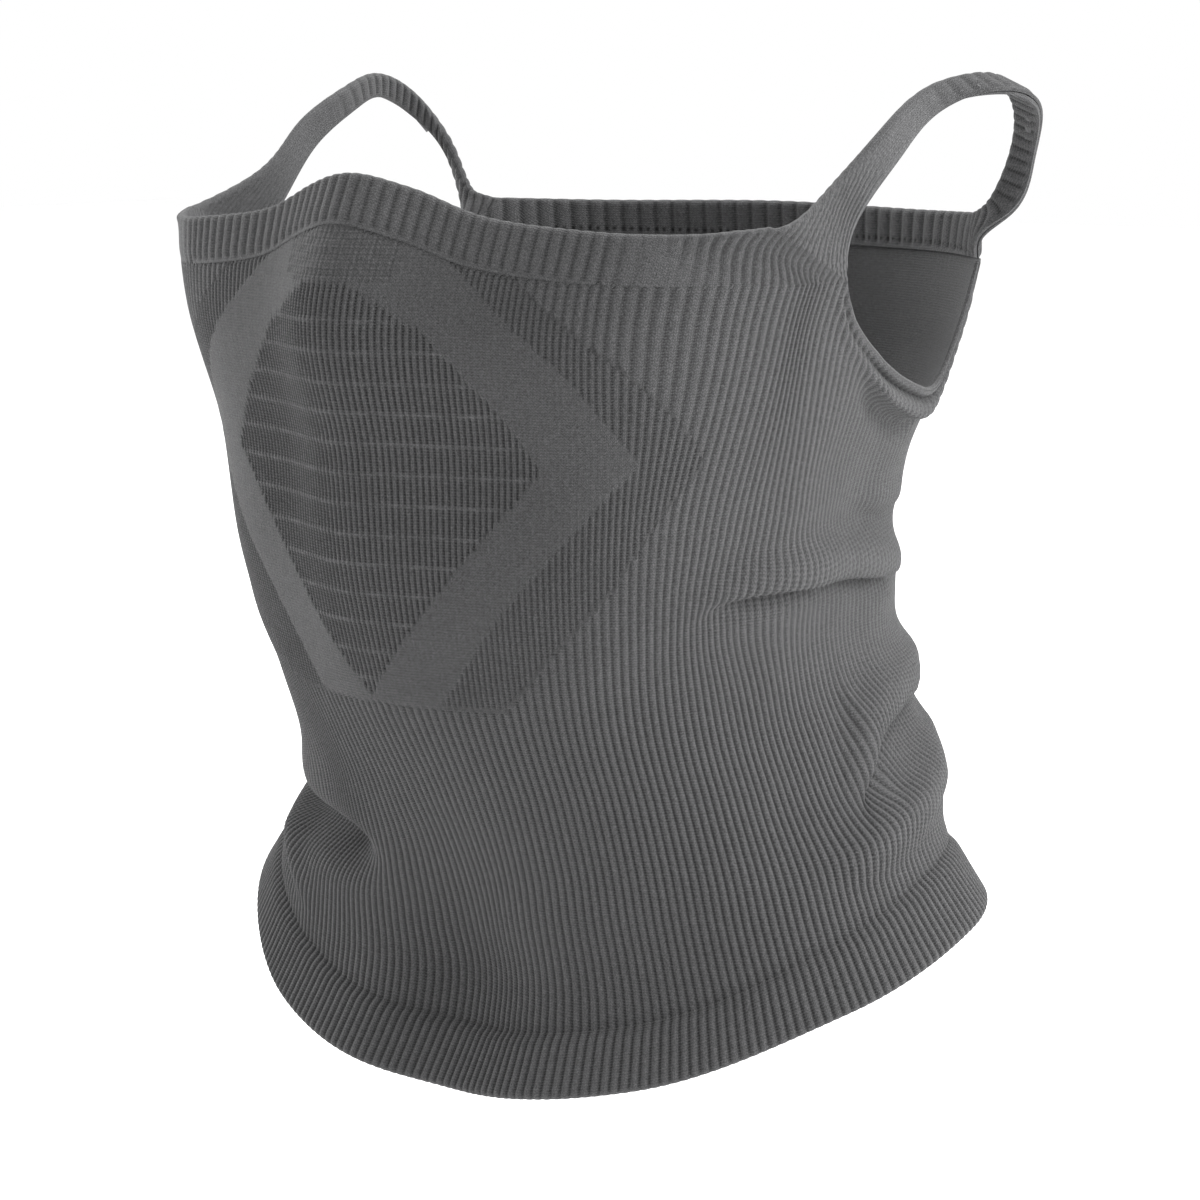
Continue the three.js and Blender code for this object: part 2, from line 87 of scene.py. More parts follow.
# Lines round the cloth: (share of the girth, height).
NOSE_TOP = [(0, 17.2), (0.025, 14.8), (0.055, 9.9), (0.09, 7.8), (0.13, 6.7), (0.157, 7.6)]
NAPE_TOP = [(0.36, 6.8), (0.42, 6.6), (0.5, 7.2)]
TOP_SEAM = [(0, 7.7), (0.025, 5.3), (0.055, 0.6), (0.09, -1.6), (0.13, -2.6), (0.213, -3)]
REAR_SEAM = [(0.341, -2), (0.5, -1.8)]
EAR_EDGE = [
    (0.213, -3), (0.219, -7), (0.226, -11), (0.24, -16), (0.262, -22), (0.285, -26), (0.298, -27),
    (0.308, -25), (0.323, -16), (0.333, -9), (0.341, -2),
]
HEM = [
    (0, -166.4), (0.1, -159.8), (0.19, -144.6), (0.263, -134), (0.321, -132.5), (0.4, -141), (0.5, -145.5),
]
BOTTOM_BAND = 11.5

# Ear loop, from the front foot to the rear: its top edge and its ear-opening edge, paired.
LOOP_TOP = [
    (73.5, -35.5, 14.5), (75, -20, 25), (75.5, -3.5, 33), (78, 8, 35.5), (78.5, 21, 32.5), (73.5, 31, 19.5),
    (68.7, 32.2, 9.6),
]
LOOP_EAR = [
    (74, -28.5, 7), (75.7, -15.3, 19.5), (76.7, 0.3, 28.8), (83.2, 9.7, 32.3), (84.8, 22, 29.6),
    (78.5, 32, 17.4), (74, 31, 6.8),
]
# The right loop twists less over its top, so its ear edge has its own points, given as if on the left.
RIGHT_LOOP_EAR = [
    (74, -28.5, 7), (75.7, -15.3, 19.5), (76.7, -0.3, 27.8), (79.2, 9.7, 30.2), (80.6, 22.4, 26.9),
    (75.5, 34, 15.4), (72, 34, 5.2),
]
LOOP_REAR_EAR = (69, 28.5, 1.5)
FRONT_CORNER, REAR_CORNER = 0.213, 0.341  # shares where the ear opening begins and ends

# Knit zones of the face panel, as half outlines on the wearer's left.
MESH_ZONE = [(0.01, -2.8), (0.042, -11.5), (0.071, -26), (0.0885, -36.8), (0.0745, -44.5), (0, -82.5)]
FRAME_ZONE = [(0.047, 20), (0.047, 2), (0.098, -18), (0.127, -35.5), (0.105, -47), (0.071, -64), (0.035, -84.5)]
FINE_ZONE = [(0.072, 20), (0.072, 0), (0.117, -16.5), (0.152, -35.5), (0.119, -59.3), (0.066, -84.5)]
PATCH_ZONE = [(0.028, 20), (0.028, -2.7)]
MESH_COURSES = 5.8  # pitch of the plain courses across the mesh
MESH_FIRST = -9.7  # height of the first one

WALES = 738
SAMPLES = 2  # columns to a wale
RIB, FINE_RIB, NOSE_RIB, NAPE_RIB = 3, 2, 4, 6  # wales to a rib
COURSE = 0.55  # height of one course of stitches
WALL = 1.2  # thickness of the single knit
INSIDE_SHADE = 1.1  # painted light inside the tube: the yarn's brightness on the inner faces is scaled by this, above 1 painting them lighter
LOOP_WALES = 48  # wales that each ear loop adds to the ring, a whole number of its widest ribs

# ---------------------------------------------------------------- smooth curves


def hermite(xs, ys, x):
    """Cubic curve through (xs, ys), each slope from the two neighbouring points."""
    xs, ys, x = np.asarray(xs, float), np.asarray(ys, float), np.asarray(x, float)
    slopes = np.gradient(ys, xs)
    slopes[1:-1] = (ys[2:] - ys[:-2]) / (xs[2:] - xs[:-2])
    i = np.clip(np.searchsorted(xs, x, side="right") - 1, 0, len(xs) - 2)
    h = xs[i + 1] - xs[i]
    u = np.clip((x - xs[i]) / h, 0, 1)
    rise = u * u * (3 - 2 * u)
    pull = slopes[i] * (u**3 - 2 * u * u + u) + slopes[i + 1] * (u**3 - u * u)
    return ys[i] * (1 - rise) + ys[i + 1] * rise + pull * h


def height_along(line, share):
    """Height of a line at a share of the girth. Lines mirror about the front and the nape."""
    points = list(line)
    if points[0][0] == 0:
        points.insert(0, (-points[1][0], points[1][1]))
    if points[-1][0] == 0.5:
        points.append((1 - points[-2][0], points[-2][1]))
    return hermite([p[0] for p in points], [p[1] for p in points], np.abs(share))


def ease(low, high, x):
    t = np.clip((np.asarray(x, float) - low) / (high - low), 0, 1)
    return t * t * (3 - 2 * t)


def bell(x, middle, width):
    return np.exp(-(((x - middle) / width) ** 2))


def ripple(a, b, seed, scale):
    """Smooth random field of two coordinates, about -1 to 1, whose bumps are about scale wide."""
    rng = np.random.default_rng(seed)
    total = 0
    for _ in range(7):
        angle = rng.uniform(0, 2 * math.pi)
        wave = rng.uniform(0.5, 1.3) * math.pi / scale
        total = total + np.sin(wave * (a * math.cos(angle) + b * math.sin(angle)) + rng.uniform(0, 7))
    return total / 3.2


# ---------------------------------------------------------------- the tube's surface

LEVEL_STEP = 0.5
LEVELS = np.arange(-176, 25.1, LEVEL_STEP)
GIRTH_STEPS = 1200


def girth_tables():
    """x, y and girth of the body at each level, at even steps from the front to the nape."""
    rising = SECTIONS[::-1]
    heights = [row[0] for row in rising]
    width, front, rear, square, ridge = (
        hermite(heights, [row[k] for row in rising], LEVELS)[:, None] for k in range(1, 6)
    )
    turn = np.linspace(0, math.pi, 2401)[None, :]
    ahead = turn < math.pi / 2
    power = np.where(ahead, 2 / square, 1)
    x = width * np.sin(turn) ** power
    along = np.abs(np.cos(turn))
    y = np.where(ahead, -front * along**power - ridge * bell(x, 0, RIDGE_WIDTH), rear * along)
    steps = np.hypot(np.diff(x), np.diff(y))
    run = np.concatenate([np.zeros((len(LEVELS), 1)), np.cumsum(steps, axis=1)], axis=1)
    even = np.linspace(0, 1, GIRTH_STEPS + 1)
    table_x = np.array([np.interp(even * r[-1], r, row) for r, row in zip(run, x)])
    table_y = np.array([np.interp(even * r[-1], r, row) for r, row in zip(run, y)])
    return table_x, table_y, 2 * run[:, -1]


TABLE_X, TABLE_Y, GIRTHS = girth_tables()


def wall(share, z):
    """Points of the smooth body at a share of the girth and a height."""
    share, z = np.broadcast_arrays(np.asarray(share, float), np.asarray(z, float))
    share = share - np.round(share)
    share = share + drift(share, z)
    a = np.clip(np.abs(share) * 2 * GIRTH_STEPS, 0, GIRTH_STEPS - 1e-9)
    b = np.clip((z - LEVELS[0]) / LEVEL_STEP, 0, len(LEVELS) - 1.001)
    i, j = a.astype(int), b.astype(int)
    ta, tb = a - i, b - j

    def mixed(table):
        low = table[j, i] * (1 - ta) + table[j, i + 1] * ta
        high = table[j + 1, i] * (1 - ta) + table[j + 1, i + 1] * ta
        return low * (1 - tb) + high * tb

    x, y = mixed(TABLE_X), mixed(TABLE_Y)
    return np.stack([np.where(share < 0, -x, x), y, z], axis=-1)


def unit(v):
    return v / np.maximum(np.linalg.norm(v, axis=-1, keepdims=True), 1e-9)


def wall_normal(share, z):
    along = wall(share + 0.004, z) - wall(share - 0.004, z)
    up = wall(share, z + 1.5) - wall(share, z - 1.5)
    return unit(np.cross(along, up))


# ---------------------------------------------------------------- folds and slack of the cloth

# Each fold: line of its crease, height of the roll above it, depth below it, width of the roll, how far
# the roll hangs over, and the share of the girth over which it fades in and out at its ends.
FOLDS = [
    ([(0.15, -66), (0.18, -63), (0.21, -61), (0.25, -61.5), (0.29, -64), (0.37, -68)], 4.2, 2.8, 3.6, 3.4, 0.085),
    ([(0.225, -112), (0.249, -103), (0.262, -97), (0.285, -93), (0.32, -91), (0.39, -89)], 3.6, 3.2, 4.2, 3.4, 0.03),
    ([(0.19, -123), (0.221, -122.5), (0.243, -121), (0.268, -118), (0.295, -112.5), (0.33, -108), (0.4, -104)],
     3.4, 2.4, 4.4, 3.4, 0.05),
    ([(0.26, -50), (0.3, -53), (0.35, -53)], 0.6, 1.4, 3.0, 0.0, 0.03),
    ([(-0.21, -112), (-0.155, -115.5), (-0.1, -117.5), (-0.03, -121)], 0.4, 7.4, 7.6, 0.4, 0.05),
    ([(-0.19, -126), (-0.148, -131), (-0.125, -138), (-0.09, -149)], 2.2, 1.6, 3.4, 0.6, 0.04),
    ([(-0.36, -66), (-0.3, -70), (-0.24, -67), (-0.19, -66)], 3.0, 2.0, 4.0, 1.8, 0.06),
    ([(-0.38, -92), (-0.31, -97), (-0.25, -101), (-0.19, -103)], 2.8, 2.0, 4.2, 1.6, 0.06),
    ([(0.39, -60), (0.44, -64), (0.5, -63), (0.56, -66), (0.62, -72)], 2.0, 1.4, 5.0, 0.8, 0.08),
    ([(0.4, -96), (0.46, -101), (0.53, -99), (0.6, -94)], 2.2, 1.5, 5.2, 0.8, 0.08),
]


def fold_shift(share, z):
    """(outward, upward, sideways) shift of the cloth at a share of the girth and a height, from its folds."""
    out, up, side = np.zeros_like(z), np.zeros_like(z), np.zeros_like(z)
    around = np.interp(z, LEVELS, GIRTHS)
    for line, roll, dip, width, hang, reach in FOLDS:
        xs = np.array([p[0] for p in line])
        low, high = xs[0], xs[-1]
        turned = np.where(share < low - 0.02, share + 1, share)
        crease = hermite(xs, [p[1] for p in line], turned)
        slope = (hermite(xs, [p[1] for p in line], turned + 0.004) - crease) / (0.004 * around)
        steep = np.sqrt(1 + slope * slope)
        d = (z - crease) / steep
        fade = ease(low, low + reach, turned) * (1 - ease(high - reach, high, turned))
        out += fade * (roll * bell(d, 0.85 * width, width) - dip * bell(d, -0.55 * width, 0.65 * width))
        pull = fade * hang * (bell(d, -0.65 * width, 0.6 * width) - bell(d, 0.4 * width, 0.6 * width))
        up += pull / steep
        side -= pull * slope / steep
    return out, up, side / around


def drift(share, z):
    """How far the wales lie off their even places, as a share of the girth, where the cloth is pulled."""
    to_ear = 0.012 * ease(0.11, 0.15, share) * (1 - ease(0.17, 0.207, share)) * ease(-50, -12, z)
    to_fold = -0.010 * bell(z, -67, 12) * bell(share, 0.19, 0.035)
    calm_front = 1 - (1 - ease(0, 0.06, share)) * ease(-135, -158, z)
    below = -0.007 * ease(-100, -140, z) * calm_front * (1 - ease(0.22, 0.4, np.abs(share)))
    tuck = 0.016 * ease(-70, -107, z) * (1 - ease(-110, -134, z)) * bell(share, -0.09, 0.032)
    return to_ear + to_fold + below + tuck


def side_shape(share, z):
    """How the cloth draws in under the ears and stands out again below, where it is bunched."""
    heights = [-176, -140, -128, -121, -114, -107, -100, -92, -84, -76, -68, -60, -52, -42, -32, -20, 30]
    depths = [2.0, 3.8, 7.2, 8.2, 6.6, 3.4, 1.8, 1.2, -0.8, -3.2, -4.1, -5.8, -6.3, -5.6, -3.4, -0.6, 0]
    here = ease(0.2, 0.28, share) * (1 - ease(0.39, 0.46, share))
    there = ease(0.2, 0.28, -share) * (1 - ease(0.39, 0.46, -share))
    return hermite(heights, depths, z) * (here + 0.6 * there)


def slack(share, z):
    """Gentle unevenness of worn cloth, calmer where it is stretched over the face."""
    run = share * 440
    loose = 0.15 + 0.85 * ease(0.15, 0.26, np.abs(share)) * ease(-20, -50, z) + 0.4 * ease(-90, -120, z)
    return loose * (0.7 * ripple(run, z, 3, 26) + 0.35 * ripple(run, 1.4 * z, 5, 12))


def jaw(share, z):
    """Faint ridge where the cloth turns under the jaw."""
    line = hermite([0, 0.052, 0.094, 0.13, 0.17, 0.21, 0.3], [-84, -82.5, -78, -70, -66, -64, -66], np.abs(share))
    return 0.5 * bell(z, line, 5) * (1 - ease(0.16, 0.24, np.abs(share)))


def cloth(share, z):
    """Points of the cloth's middle shape, with its folds but no knit structure."""
    out, up, side = fold_shift(share, z)
    out = out + slack(share, z) + jaw(share, z) + side_shape(share, z)
    top_calm = ease(-3, -16, z)
    low_calm = ease(2, 14, z - height_along(HEM, share) - BOTTOM_BAND)
    calm = np.where(np.abs(share) < 0.2, top_calm, ease(-1, -9, z - edge_height(share))) * low_calm
    points = wall(share + side * calm, z) + wall_normal(share, z) * (out * calm)[..., None]
    points[..., 2] += up * calm
    return points


def edge_height(share):
    """Height of the single knit's top edge: the linking rows, and the ear openings between them."""
    a = np.abs(share)
    front, ear = height_along(TOP_SEAM, a), height_along(EAR_EDGE, a)
    rear = height_along(REAR_SEAM, a)
    return np.where(a < 0.213, front, np.where(a > 0.341, rear, ear))


def hem_seam(share):
    return height_along(HEM, share) + BOTTOM_BAND


def cloth_normal(share, z):
    along = cloth(share + 0.002, z) - cloth(share - 0.002, z)
    up = cloth(share, z + 0.6) - cloth(share, z - 0.6)
    return unit(np.cross(along, up))


# ---------------------------------------------------------------- knit structure


def inside_zone(corners, share, z):
    """True where a point lies inside a half outline of the face panel, mirrored about the front."""
    heights = [c[1] for c in corners][::-1]
    shares = [c[0] for c in corners][::-1]
    edge = np.interp(z, heights, shares, left=-1, right=-1)
    return (np.abs(share) < edge) & (z > heights[0]) & (z < heights[-1])


def rib_height(wale, period, depth, sharp):
    """Height of ribs across the wales: 0 on the crest and -depth in the groove at each whole period."""
    groove = 0.5 + 0.5 * np.cos(2 * math.pi * wale / period)
    return -depth * groove**sharp


def knit_relief(share, z):
    """(outward relief, wales to a rib, groove 0-1: how dark the grooves are painted as shade and how deep they are
    bumped, shade: the zone's tone) of the single knit at a share and a height.
    """
    wale = share * WALES
    in_fine = inside_zone(FINE_ZONE, share, z)
    in_frame = inside_zone(FRAME_ZONE, share, z)
    in_mesh = inside_zone(MESH_ZONE, share, z)
    in_patch = inside_zone(PATCH_ZONE, share, z)
    plain = in_frame & ~in_mesh
    turn = (z - MESH_FIRST) / MESH_COURSES
    course = bell(turn - np.round(turn), 0, 0.1) * (z < MESH_FIRST + 1)
    relief = np.where(in_fine, rib_height(wale, FINE_RIB, 0.26, 1.0), rib_height(wale, RIB, 0.38, 1.6))
    relief = np.where(plain, 0.03 * ripple(share * 440, z, 9, 2.0), relief)
    relief = np.where(in_mesh, rib_height(wale, FINE_RIB, 0.36, 1.0) * (1 - 0.6 * course), relief)
    eyelets = rib_height(wale, 2, 0.3, 1.0) * (0.5 - 0.5 * np.cos(2 * math.pi * z / 1.9))
    relief = np.where(in_patch, eyelets, relief)
    a = np.abs(share)
    lower = ease(-60, -95, z)
    side = ease(0.2, 0.29, a) * (1 - ease(0.37, 0.42, a))
    firm = (0.62 + 0.38 * lower) * (1 - side * (0.75 - 0.3 * lower))
    relief = np.where(in_frame | in_fine, relief, relief * (0.4 + 0.6 * firm))
    # How dark the grooves between ribs are painted, as shade: weaker high up and on the sides, faint on the plain
    # frame, strongest over the mesh.
    groove = np.where(in_fine, 0.9, firm)
    groove = np.where(plain, 0.16, groove)
    groove = np.where(in_mesh, 1.15, groove)
    period = np.where(in_fine | in_frame, float(FINE_RIB), float(RIB))
    shade = np.where(in_fine & ~in_frame, 0.97, 1.0) - 0.1 * plain
    shade = np.where(in_mesh, 1.04, shade)
    return relief, period, groove, shade


# ---------------------------------------------------------------- meshes


def make_mesh(name, points, faces, uvs, values):
    """Object from points in mm, faces (rows of 3 or 4 indices), a uv for each corner and three values a point.

    The values are the shade of the yarn, which holds its tone with painted shade and light, the wales to a rib,
    and how dark the grooves between ribs are painted as shade.
    """
    sizes = np.concatenate([np.full(len(f), f.shape[1]) for f in faces])
    corners = np.concatenate([f.ravel() for f in faces])
    uv = np.concatenate([u.reshape(-1, 2) for u in uvs])
    used, corners = np.unique(corners, return_inverse=True)
    mesh = bpy.data.meshes.new(name)
    mesh.vertices.add(len(used))
    mesh.vertices.foreach_set("co", (points[used] * MM).astype(np.float32).ravel())
    mesh.loops.add(len(corners))
    mesh.loops.foreach_set("vertex_index", corners.astype(np.int32))
    mesh.polygons.add(len(sizes))
    starts = np.concatenate([[0], np.cumsum(sizes)[:-1]])
    mesh.polygons.foreach_set("loop_start", starts.astype(np.int32))
    mesh.polygons.foreach_set("use_smooth", np.ones(len(sizes), bool))
    mesh.update(calc_edges=True)
    mesh.uv_layers.new(name="knit").data.foreach_set("uv", uv.astype(np.float32).ravel())
    for key, row in zip(("shade", "rib", "groove"), values):
        layer = mesh.attributes.new(key, "FLOAT", "POINT")
        layer.data.foreach_set("value", row[used].astype(np.float32))
    mesh.set_sharp_from_angle(angle=math.radians(80))
    obj = bpy.data.objects.new(name, mesh)
    bpy.context.scene.collection.objects.link(obj)
    return obj


def shell(name, outer, inner, mask, uv, outer_values, inner_values):
    """Closed piece of cloth over the marked cells of a ring-shaped grid.

    outer has two columns and two rows for each one of inner. uv gives the knit coordinates of outer's
    points with one column more, and the values are those of make_mesh for each grid.
    """
    rows, columns = outer.shape[:2]
    inner_columns = columns // 2
    base = rows * columns
    r, c = np.nonzero(mask)

    def out_id(row, column):
        return row * columns + column % columns

    def in_id(row, column):
        return base + row * inner_columns + column % inner_columns

    def out_uv(row, column):
        return uv[row, column]

    faces, uvs = [], []

    def put(corners):
        ids = [out_id(a, b) if kind else in_id(a, b) for kind, a, b in corners]
        coords = [out_uv(a, b) if kind else out_uv(2 * a, 2 * b) for kind, a, b in corners]
        faces.append(np.stack(ids, axis=1))
        uvs.append(np.stack(coords, axis=1))

    for dr in (0, 1):
        for dc in (0, 1):
            a, b = 2 * r + dr, 2 * c + dc
            put([(1, a, b), (1, a + 1, b), (1, a + 1, b + 1), (1, a, b + 1)])
    put([(0, r, c), (0, r, c + 1), (0, r + 1, c + 1), (0, r + 1, c)])
    above = np.vstack([np.zeros((1, mask.shape[1]), bool), mask[:-1]])
    below = np.vstack([mask[1:], np.zeros((1, mask.shape[1]), bool)])
    sides = [
        (mask & ~above, lambda i, j, k: (i, j + k), False),
        (mask & ~below, lambda i, j, k: (i + 1, j + k), True),
        (mask & ~np.roll(mask, 1, axis=1), lambda i, j, k: (i + k, j), True),
        (mask & ~np.roll(mask, -1, axis=1), lambda i, j, k: (i + k, j + 1), False),
    ]
    for edge_cells, at, turned in sides:
        i, j = np.nonzero(edge_cells)
        if not len(i):
            continue
        b0, b2 = (0, *at(i, j, 0)), (0, *at(i, j, 1))
        a0, a2 = (1, 2 * b0[1], 2 * b0[2]), (1, 2 * b2[1], 2 * b2[2])
        a1 = (1, (a0[1] + a2[1]) // 2, (a0[2] + a2[2]) // 2)
        for triangle in ((a0, a1, b0), (a1, a2, b2), (a1, b2, b0)):
            put(triangle[::-1] if turned else triangle)
    points = np.concatenate([outer.reshape(-1, 3), inner.reshape(-1, 3)])
    values = [np.concatenate([a.ravel(), b.ravel()]) for a, b in zip(outer_values, inner_values)]
    quads = [f for f in faces if f.shape[1] == 4]
    triangles = [f for f in faces if f.shape[1] == 3]
    quad_uvs = [u for u in uvs if u.shape[1] == 4]
    triangle_uvs = [u for u in uvs if u.shape[1] == 3]
    return make_mesh(name, points, quads + triangles, quad_uvs + triangle_uvs, values)


def swept(name, grid, uv, values, ring=False):
    """Closed solid from a grid of sections: one row a station, each a closed loop of points."""
    count, sides = grid.shape[:2]
    last = count if ring else count - 1
    i, j = np.meshgrid(np.arange(last), np.arange(sides), indexing="ij")
    i, j = i.ravel(), j.ravel()
    k, n = (j + 1) % sides, (i + 1) % count
    quads = np.stack([i * sides + j, n * sides + j, n * sides + k, i * sides + k], axis=1)
    quad_uv = np.stack([uv[i, j], uv[i + 1, j], uv[i + 1, j + 1], uv[i, j + 1]], axis=1)
    faces, uvs = [quads], [quad_uv]
    if not ring:
        # A U-shaped end is closed by a strip between its outward half and its hidden half.
        half = sides // 2
        a = np.arange(half - 1)
        pairs = np.stack([a, a + 1, sides - 2 - a, sides - 1 - a], axis=1)
        end = (count - 1) * sides
        for cap in (pairs, pairs[:, ::-1] + end):
            faces.append(cap)
            uvs.append(uv.reshape(-1, 2)[np.minimum(cap, uv.reshape(-1, 2).shape[0] - 1)])
    return make_mesh(name, grid.reshape(-1, 3), faces, uvs, [row.ravel() for row in values])


def round_cord(name, path, radius, sides, uv_scale, shade, flat=1.0, out=None, closed=False):
    """Round or flattened strand along a path, with domed ends unless it is closed."""
    count = len(path)
    ahead = np.roll(path, -1, axis=0) - np.roll(path, 1, axis=0)
    if not closed:
        ahead[0], ahead[-1] = path[1] - path[0], path[-1] - path[-2]
    ahead = unit(ahead)
    out = unit(out - ahead * np.sum(out * ahead, axis=1, keepdims=True))
    across = np.cross(ahead, out)
    turn = 2 * math.pi * np.arange(sides) / sides
    size = np.full(count, radius) if np.isscalar(radius) else radius
    ring_points = (
        path[:, None, :]
        + (out[:, None, :] * np.cos(turn)[None, :, None] * flat
           + across[:, None, :] * np.sin(turn)[None, :, None]) * size[:, None, None]
    )
    run = np.concatenate([[0], np.cumsum(np.linalg.norm(np.diff(path, axis=0), axis=1))])
    i, j = np.meshgrid(np.arange(count if closed else count - 1), np.arange(sides), indexing="ij")
    i, j = i.ravel(), j.ravel()
    k, n = (j + 1) % sides, (i + 1) % count
    faces = [np.stack([i * sides + j, i * sides + k, n * sides + k, n * sides + j], axis=1)]
    run = np.append(run, run[-1] + 1)
    girth = uv_scale[1] / sides
    uvs = [np.stack([
        np.stack([run[i] * uv_scale[0], j * girth], axis=1),
        np.stack([run[i] * uv_scale[0], (j + 1) * girth], axis=1),
        np.stack([run[i + 1] * uv_scale[0], (j + 1) * girth], axis=1),
        np.stack([run[i + 1] * uv_scale[0], j * girth], axis=1),
    ], axis=1)]
    points = ring_points.reshape(-1, 3)
    if not closed:
        points = np.concatenate([points, path[:1] - ahead[:1] * size[0] * 0.6,
                                 path[-1:] + ahead[-1:] * size[-1] * 0.6])
        j = np.arange(sides)
        k = (j + 1) % sides
        end = (count - 1) * sides
        first = np.stack([np.full(sides, count * sides), k, j], axis=1)
        last = np.stack([np.full(sides, count * sides + 1), end + j, end + k], axis=1)
        for cap in (first, last):
            faces.append(cap)
            uvs.append(np.zeros((sides, 3, 2)))
    count = len(points)
    return make_mesh(name, points, faces, uvs, (np.full(count, shade), np.full(count, 2.0), np.zeros(count)))


# ---------------------------------------------------------------- the single knit

COLUMNS = WALES * SAMPLES
TOP, PANEL_TOP, PANEL_LOW, WAIST, FOOT = -3.0, -7.0, -83.5, -100.0, -150.0


def nominal_rows():
    spans = [(TOP, PANEL_TOP, 12), (PANEL_TOP, PANEL_LOW, 92), (PANEL_LOW, WAIST, 16), (WAIST, FOOT, 38)]
    rows = [np.linspace(a, b, n, endpoint=False) for a, b, n in spans]
    return np.append(np.concatenate(rows), FOOT)


def row_heights(share):
    """Height of each row of the grid at each share: even over the panel, fitted to both edges."""
    rows = nominal_rows()[:, None]
    top = edge_height(share)[None, :]
    foot = hem_seam(share)[None, :] - 0.5
    squeeze = -36.0
    raised = np.where(rows > PANEL_TOP, PANEL_TOP + (rows - PANEL_TOP) * (top - PANEL_TOP) / (TOP - PANEL_TOP), rows)
    lowered = np.where(rows > squeeze, squeeze + (rows - squeeze) * (top - squeeze) / (TOP - squeeze), rows)
    z = np.where(top >= TOP, raised, lowered)
    return np.where(rows < WAIST, WAIST + (rows - WAIST) * (foot - WAIST) / (FOOT - WAIST), z)


def wall_grid():
    """Outer and inner grids of the single knit, their knit coordinates, shares, heights and values."""
    shares = np.arange(COLUMNS + 1) / COLUMNS - 0.5
    z = row_heights(shares[:-1])
    share = np.broadcast_to(shares[:-1], z.shape)
    relief, period, groove, shade = knit_relief(share, z)
    below_top = edge_height(share[0])[None, :] - z
    above_hem = z - hem_seam(share[0])[None, :]
    a = np.abs(share)
    front_seam, rear_seam = 1 - ease(0.07, 0.13, a), ease(0.345, 0.36, a)
    seam = 0.12 * front_seam + 0.5 * rear_seam
    ear = ease(0.211, 0.218, a) * (1 - ease(0.336, 0.342, a))
    under_ear = ear * ease(0.232, 0.262, a) * (1 - ease(0.3, 0.325, a))
    dip = -seam * bell(below_top, 0, 0.7) - 0.35 * bell(above_hem, 0, 1.6)
    dip = dip - (0.35 * ear + 1.1 * under_ear) * bell(below_top, 2.0, 0.8)
    dip = dip + 1.5 * under_ear * bell(below_top, 4.6, 1.6) + 0.3 * ear * bell(below_top, 4.0, 1.6)
    dip = dip - 1.2 * under_ear * bell(below_top, 8.6, 2.2)
    plain_edge = 1 - ear * bell(below_top, 0, 1.0)
    normal = cloth_normal(share, z)
    middle = cloth(share, z)
    outer = middle + normal * (relief * plain_edge + dip)[..., None]
    depth = -0.12 * (relief + 0.2)[::2, ::2] - WALL + 0.3 * dip[::2, ::2]
    inner = middle[::2, ::2] + normal[::2, ::2] * depth[..., None]
    # Painted shade: the yarn is darker along the front and nape seams, along the hem seam and in the groove under
    # the ear opening's edge.
    shade = shade * (1 - bell(below_top, 0, 0.45) * (0.2 * front_seam + 0.4 * rear_seam))
    shade = shade * (1 - 0.12 * bell(above_hem, 0, 1.4)) * (1 - 0.35 * ear * bell(below_top, 2.0, 0.6))
    # The inner faces get the painted inside light.
    inner_shade = np.full(depth.shape, INSIDE_SHADE)
    v = z / COURSE
    v = np.concatenate([v, v[:, :1]], axis=1)
    u = np.broadcast_to(shares * WALES, v.shape)
    uv = np.stack([u, v], axis=-1)
    outer_values = (shade, period, groove * plain_edge)
    inner_values = (inner_shade, period[::2, ::2], np.zeros(depth.shape))
    return outer, inner, uv, share, z, outer_values, inner_values


def build_wall():
    outer, inner, uv, share, z, outer_values, inner_values = wall_grid()
    cell_share = share[1::2, 1::2]
    cell_z = z[1::2, 1::2]
    in_fine = inside_zone(FINE_ZONE, cell_share, cell_z)
    in_frame = inside_zone(FRAME_ZONE, cell_share, cell_z)
    in_mesh = inside_zone(MESH_ZONE, cell_share, cell_z)
    in_patch = inside_zone(PATCH_ZONE, cell_share, cell_z)
    a = np.abs(cell_share)
    beside = (a > FRONT_CORNER) & (a < REAR_CORNER)
    masks = {
        "rib_front": (a <= FRONT_CORNER) & ~in_fine & ~in_frame,
        "rib_side_left": beside & (cell_share > 0),
        "rib_side_right": beside & (cell_share < 0),
        "rib_nape": a >= REAR_CORNER,
        "mouth_mesh": in_mesh,
        "mesh_frame": in_frame & ~in_mesh & ~in_patch,
        "nose_mesh_patch": in_patch,
        "fine_rib_left": in_fine & ~in_frame & (cell_share > 0),
        "fine_rib_right": in_fine & ~in_frame & (cell_share < 0),
    }
    return {
        name: shell(f"{name}_knit", outer, inner, mask, uv, outer_values, inner_values)
        for name, mask in masks.items()
    }


# ---------------------------------------------------------------- the welts' ring


def natural_spline(xs, ys, x):
    """Natural cubic spline through the rows of ys at xs."""
    n = len(xs)
    h = np.diff(xs)
    m = np.zeros((n, n))
    rhs = np.zeros_like(ys)
    m[0, 0] = m[-1, -1] = 1
    for i in range(1, n - 1):
        m[i, i - 1], m[i, i], m[i, i + 1] = h[i - 1], 2 * (h[i - 1] + h[i]), h[i]
        rhs[i] = 6 * ((ys[i + 1] - ys[i]) / h[i] - (ys[i] - ys[i - 1]) / h[i - 1])
    bend = np.linalg.solve(m, rhs)
    i = np.clip(np.searchsorted(xs, x, side="right") - 1, 0, n - 2)
    a, b = (xs[i + 1] - x)[:, None], (x - xs[i])[:, None]
    w = h[i][:, None]
    straight = (ys[i] / w - bend[i] * w / 6) * a + (ys[i + 1] / w - bend[i + 1] * w / 6) * b
    return bend[i] * a**3 / (6 * w) + bend[i + 1] * b**3 / (6 * w) + straight


LEAD_START, LOOP_START = 0.11, 0.157
LOOP_END, LAG_END = 0.366, 0.41


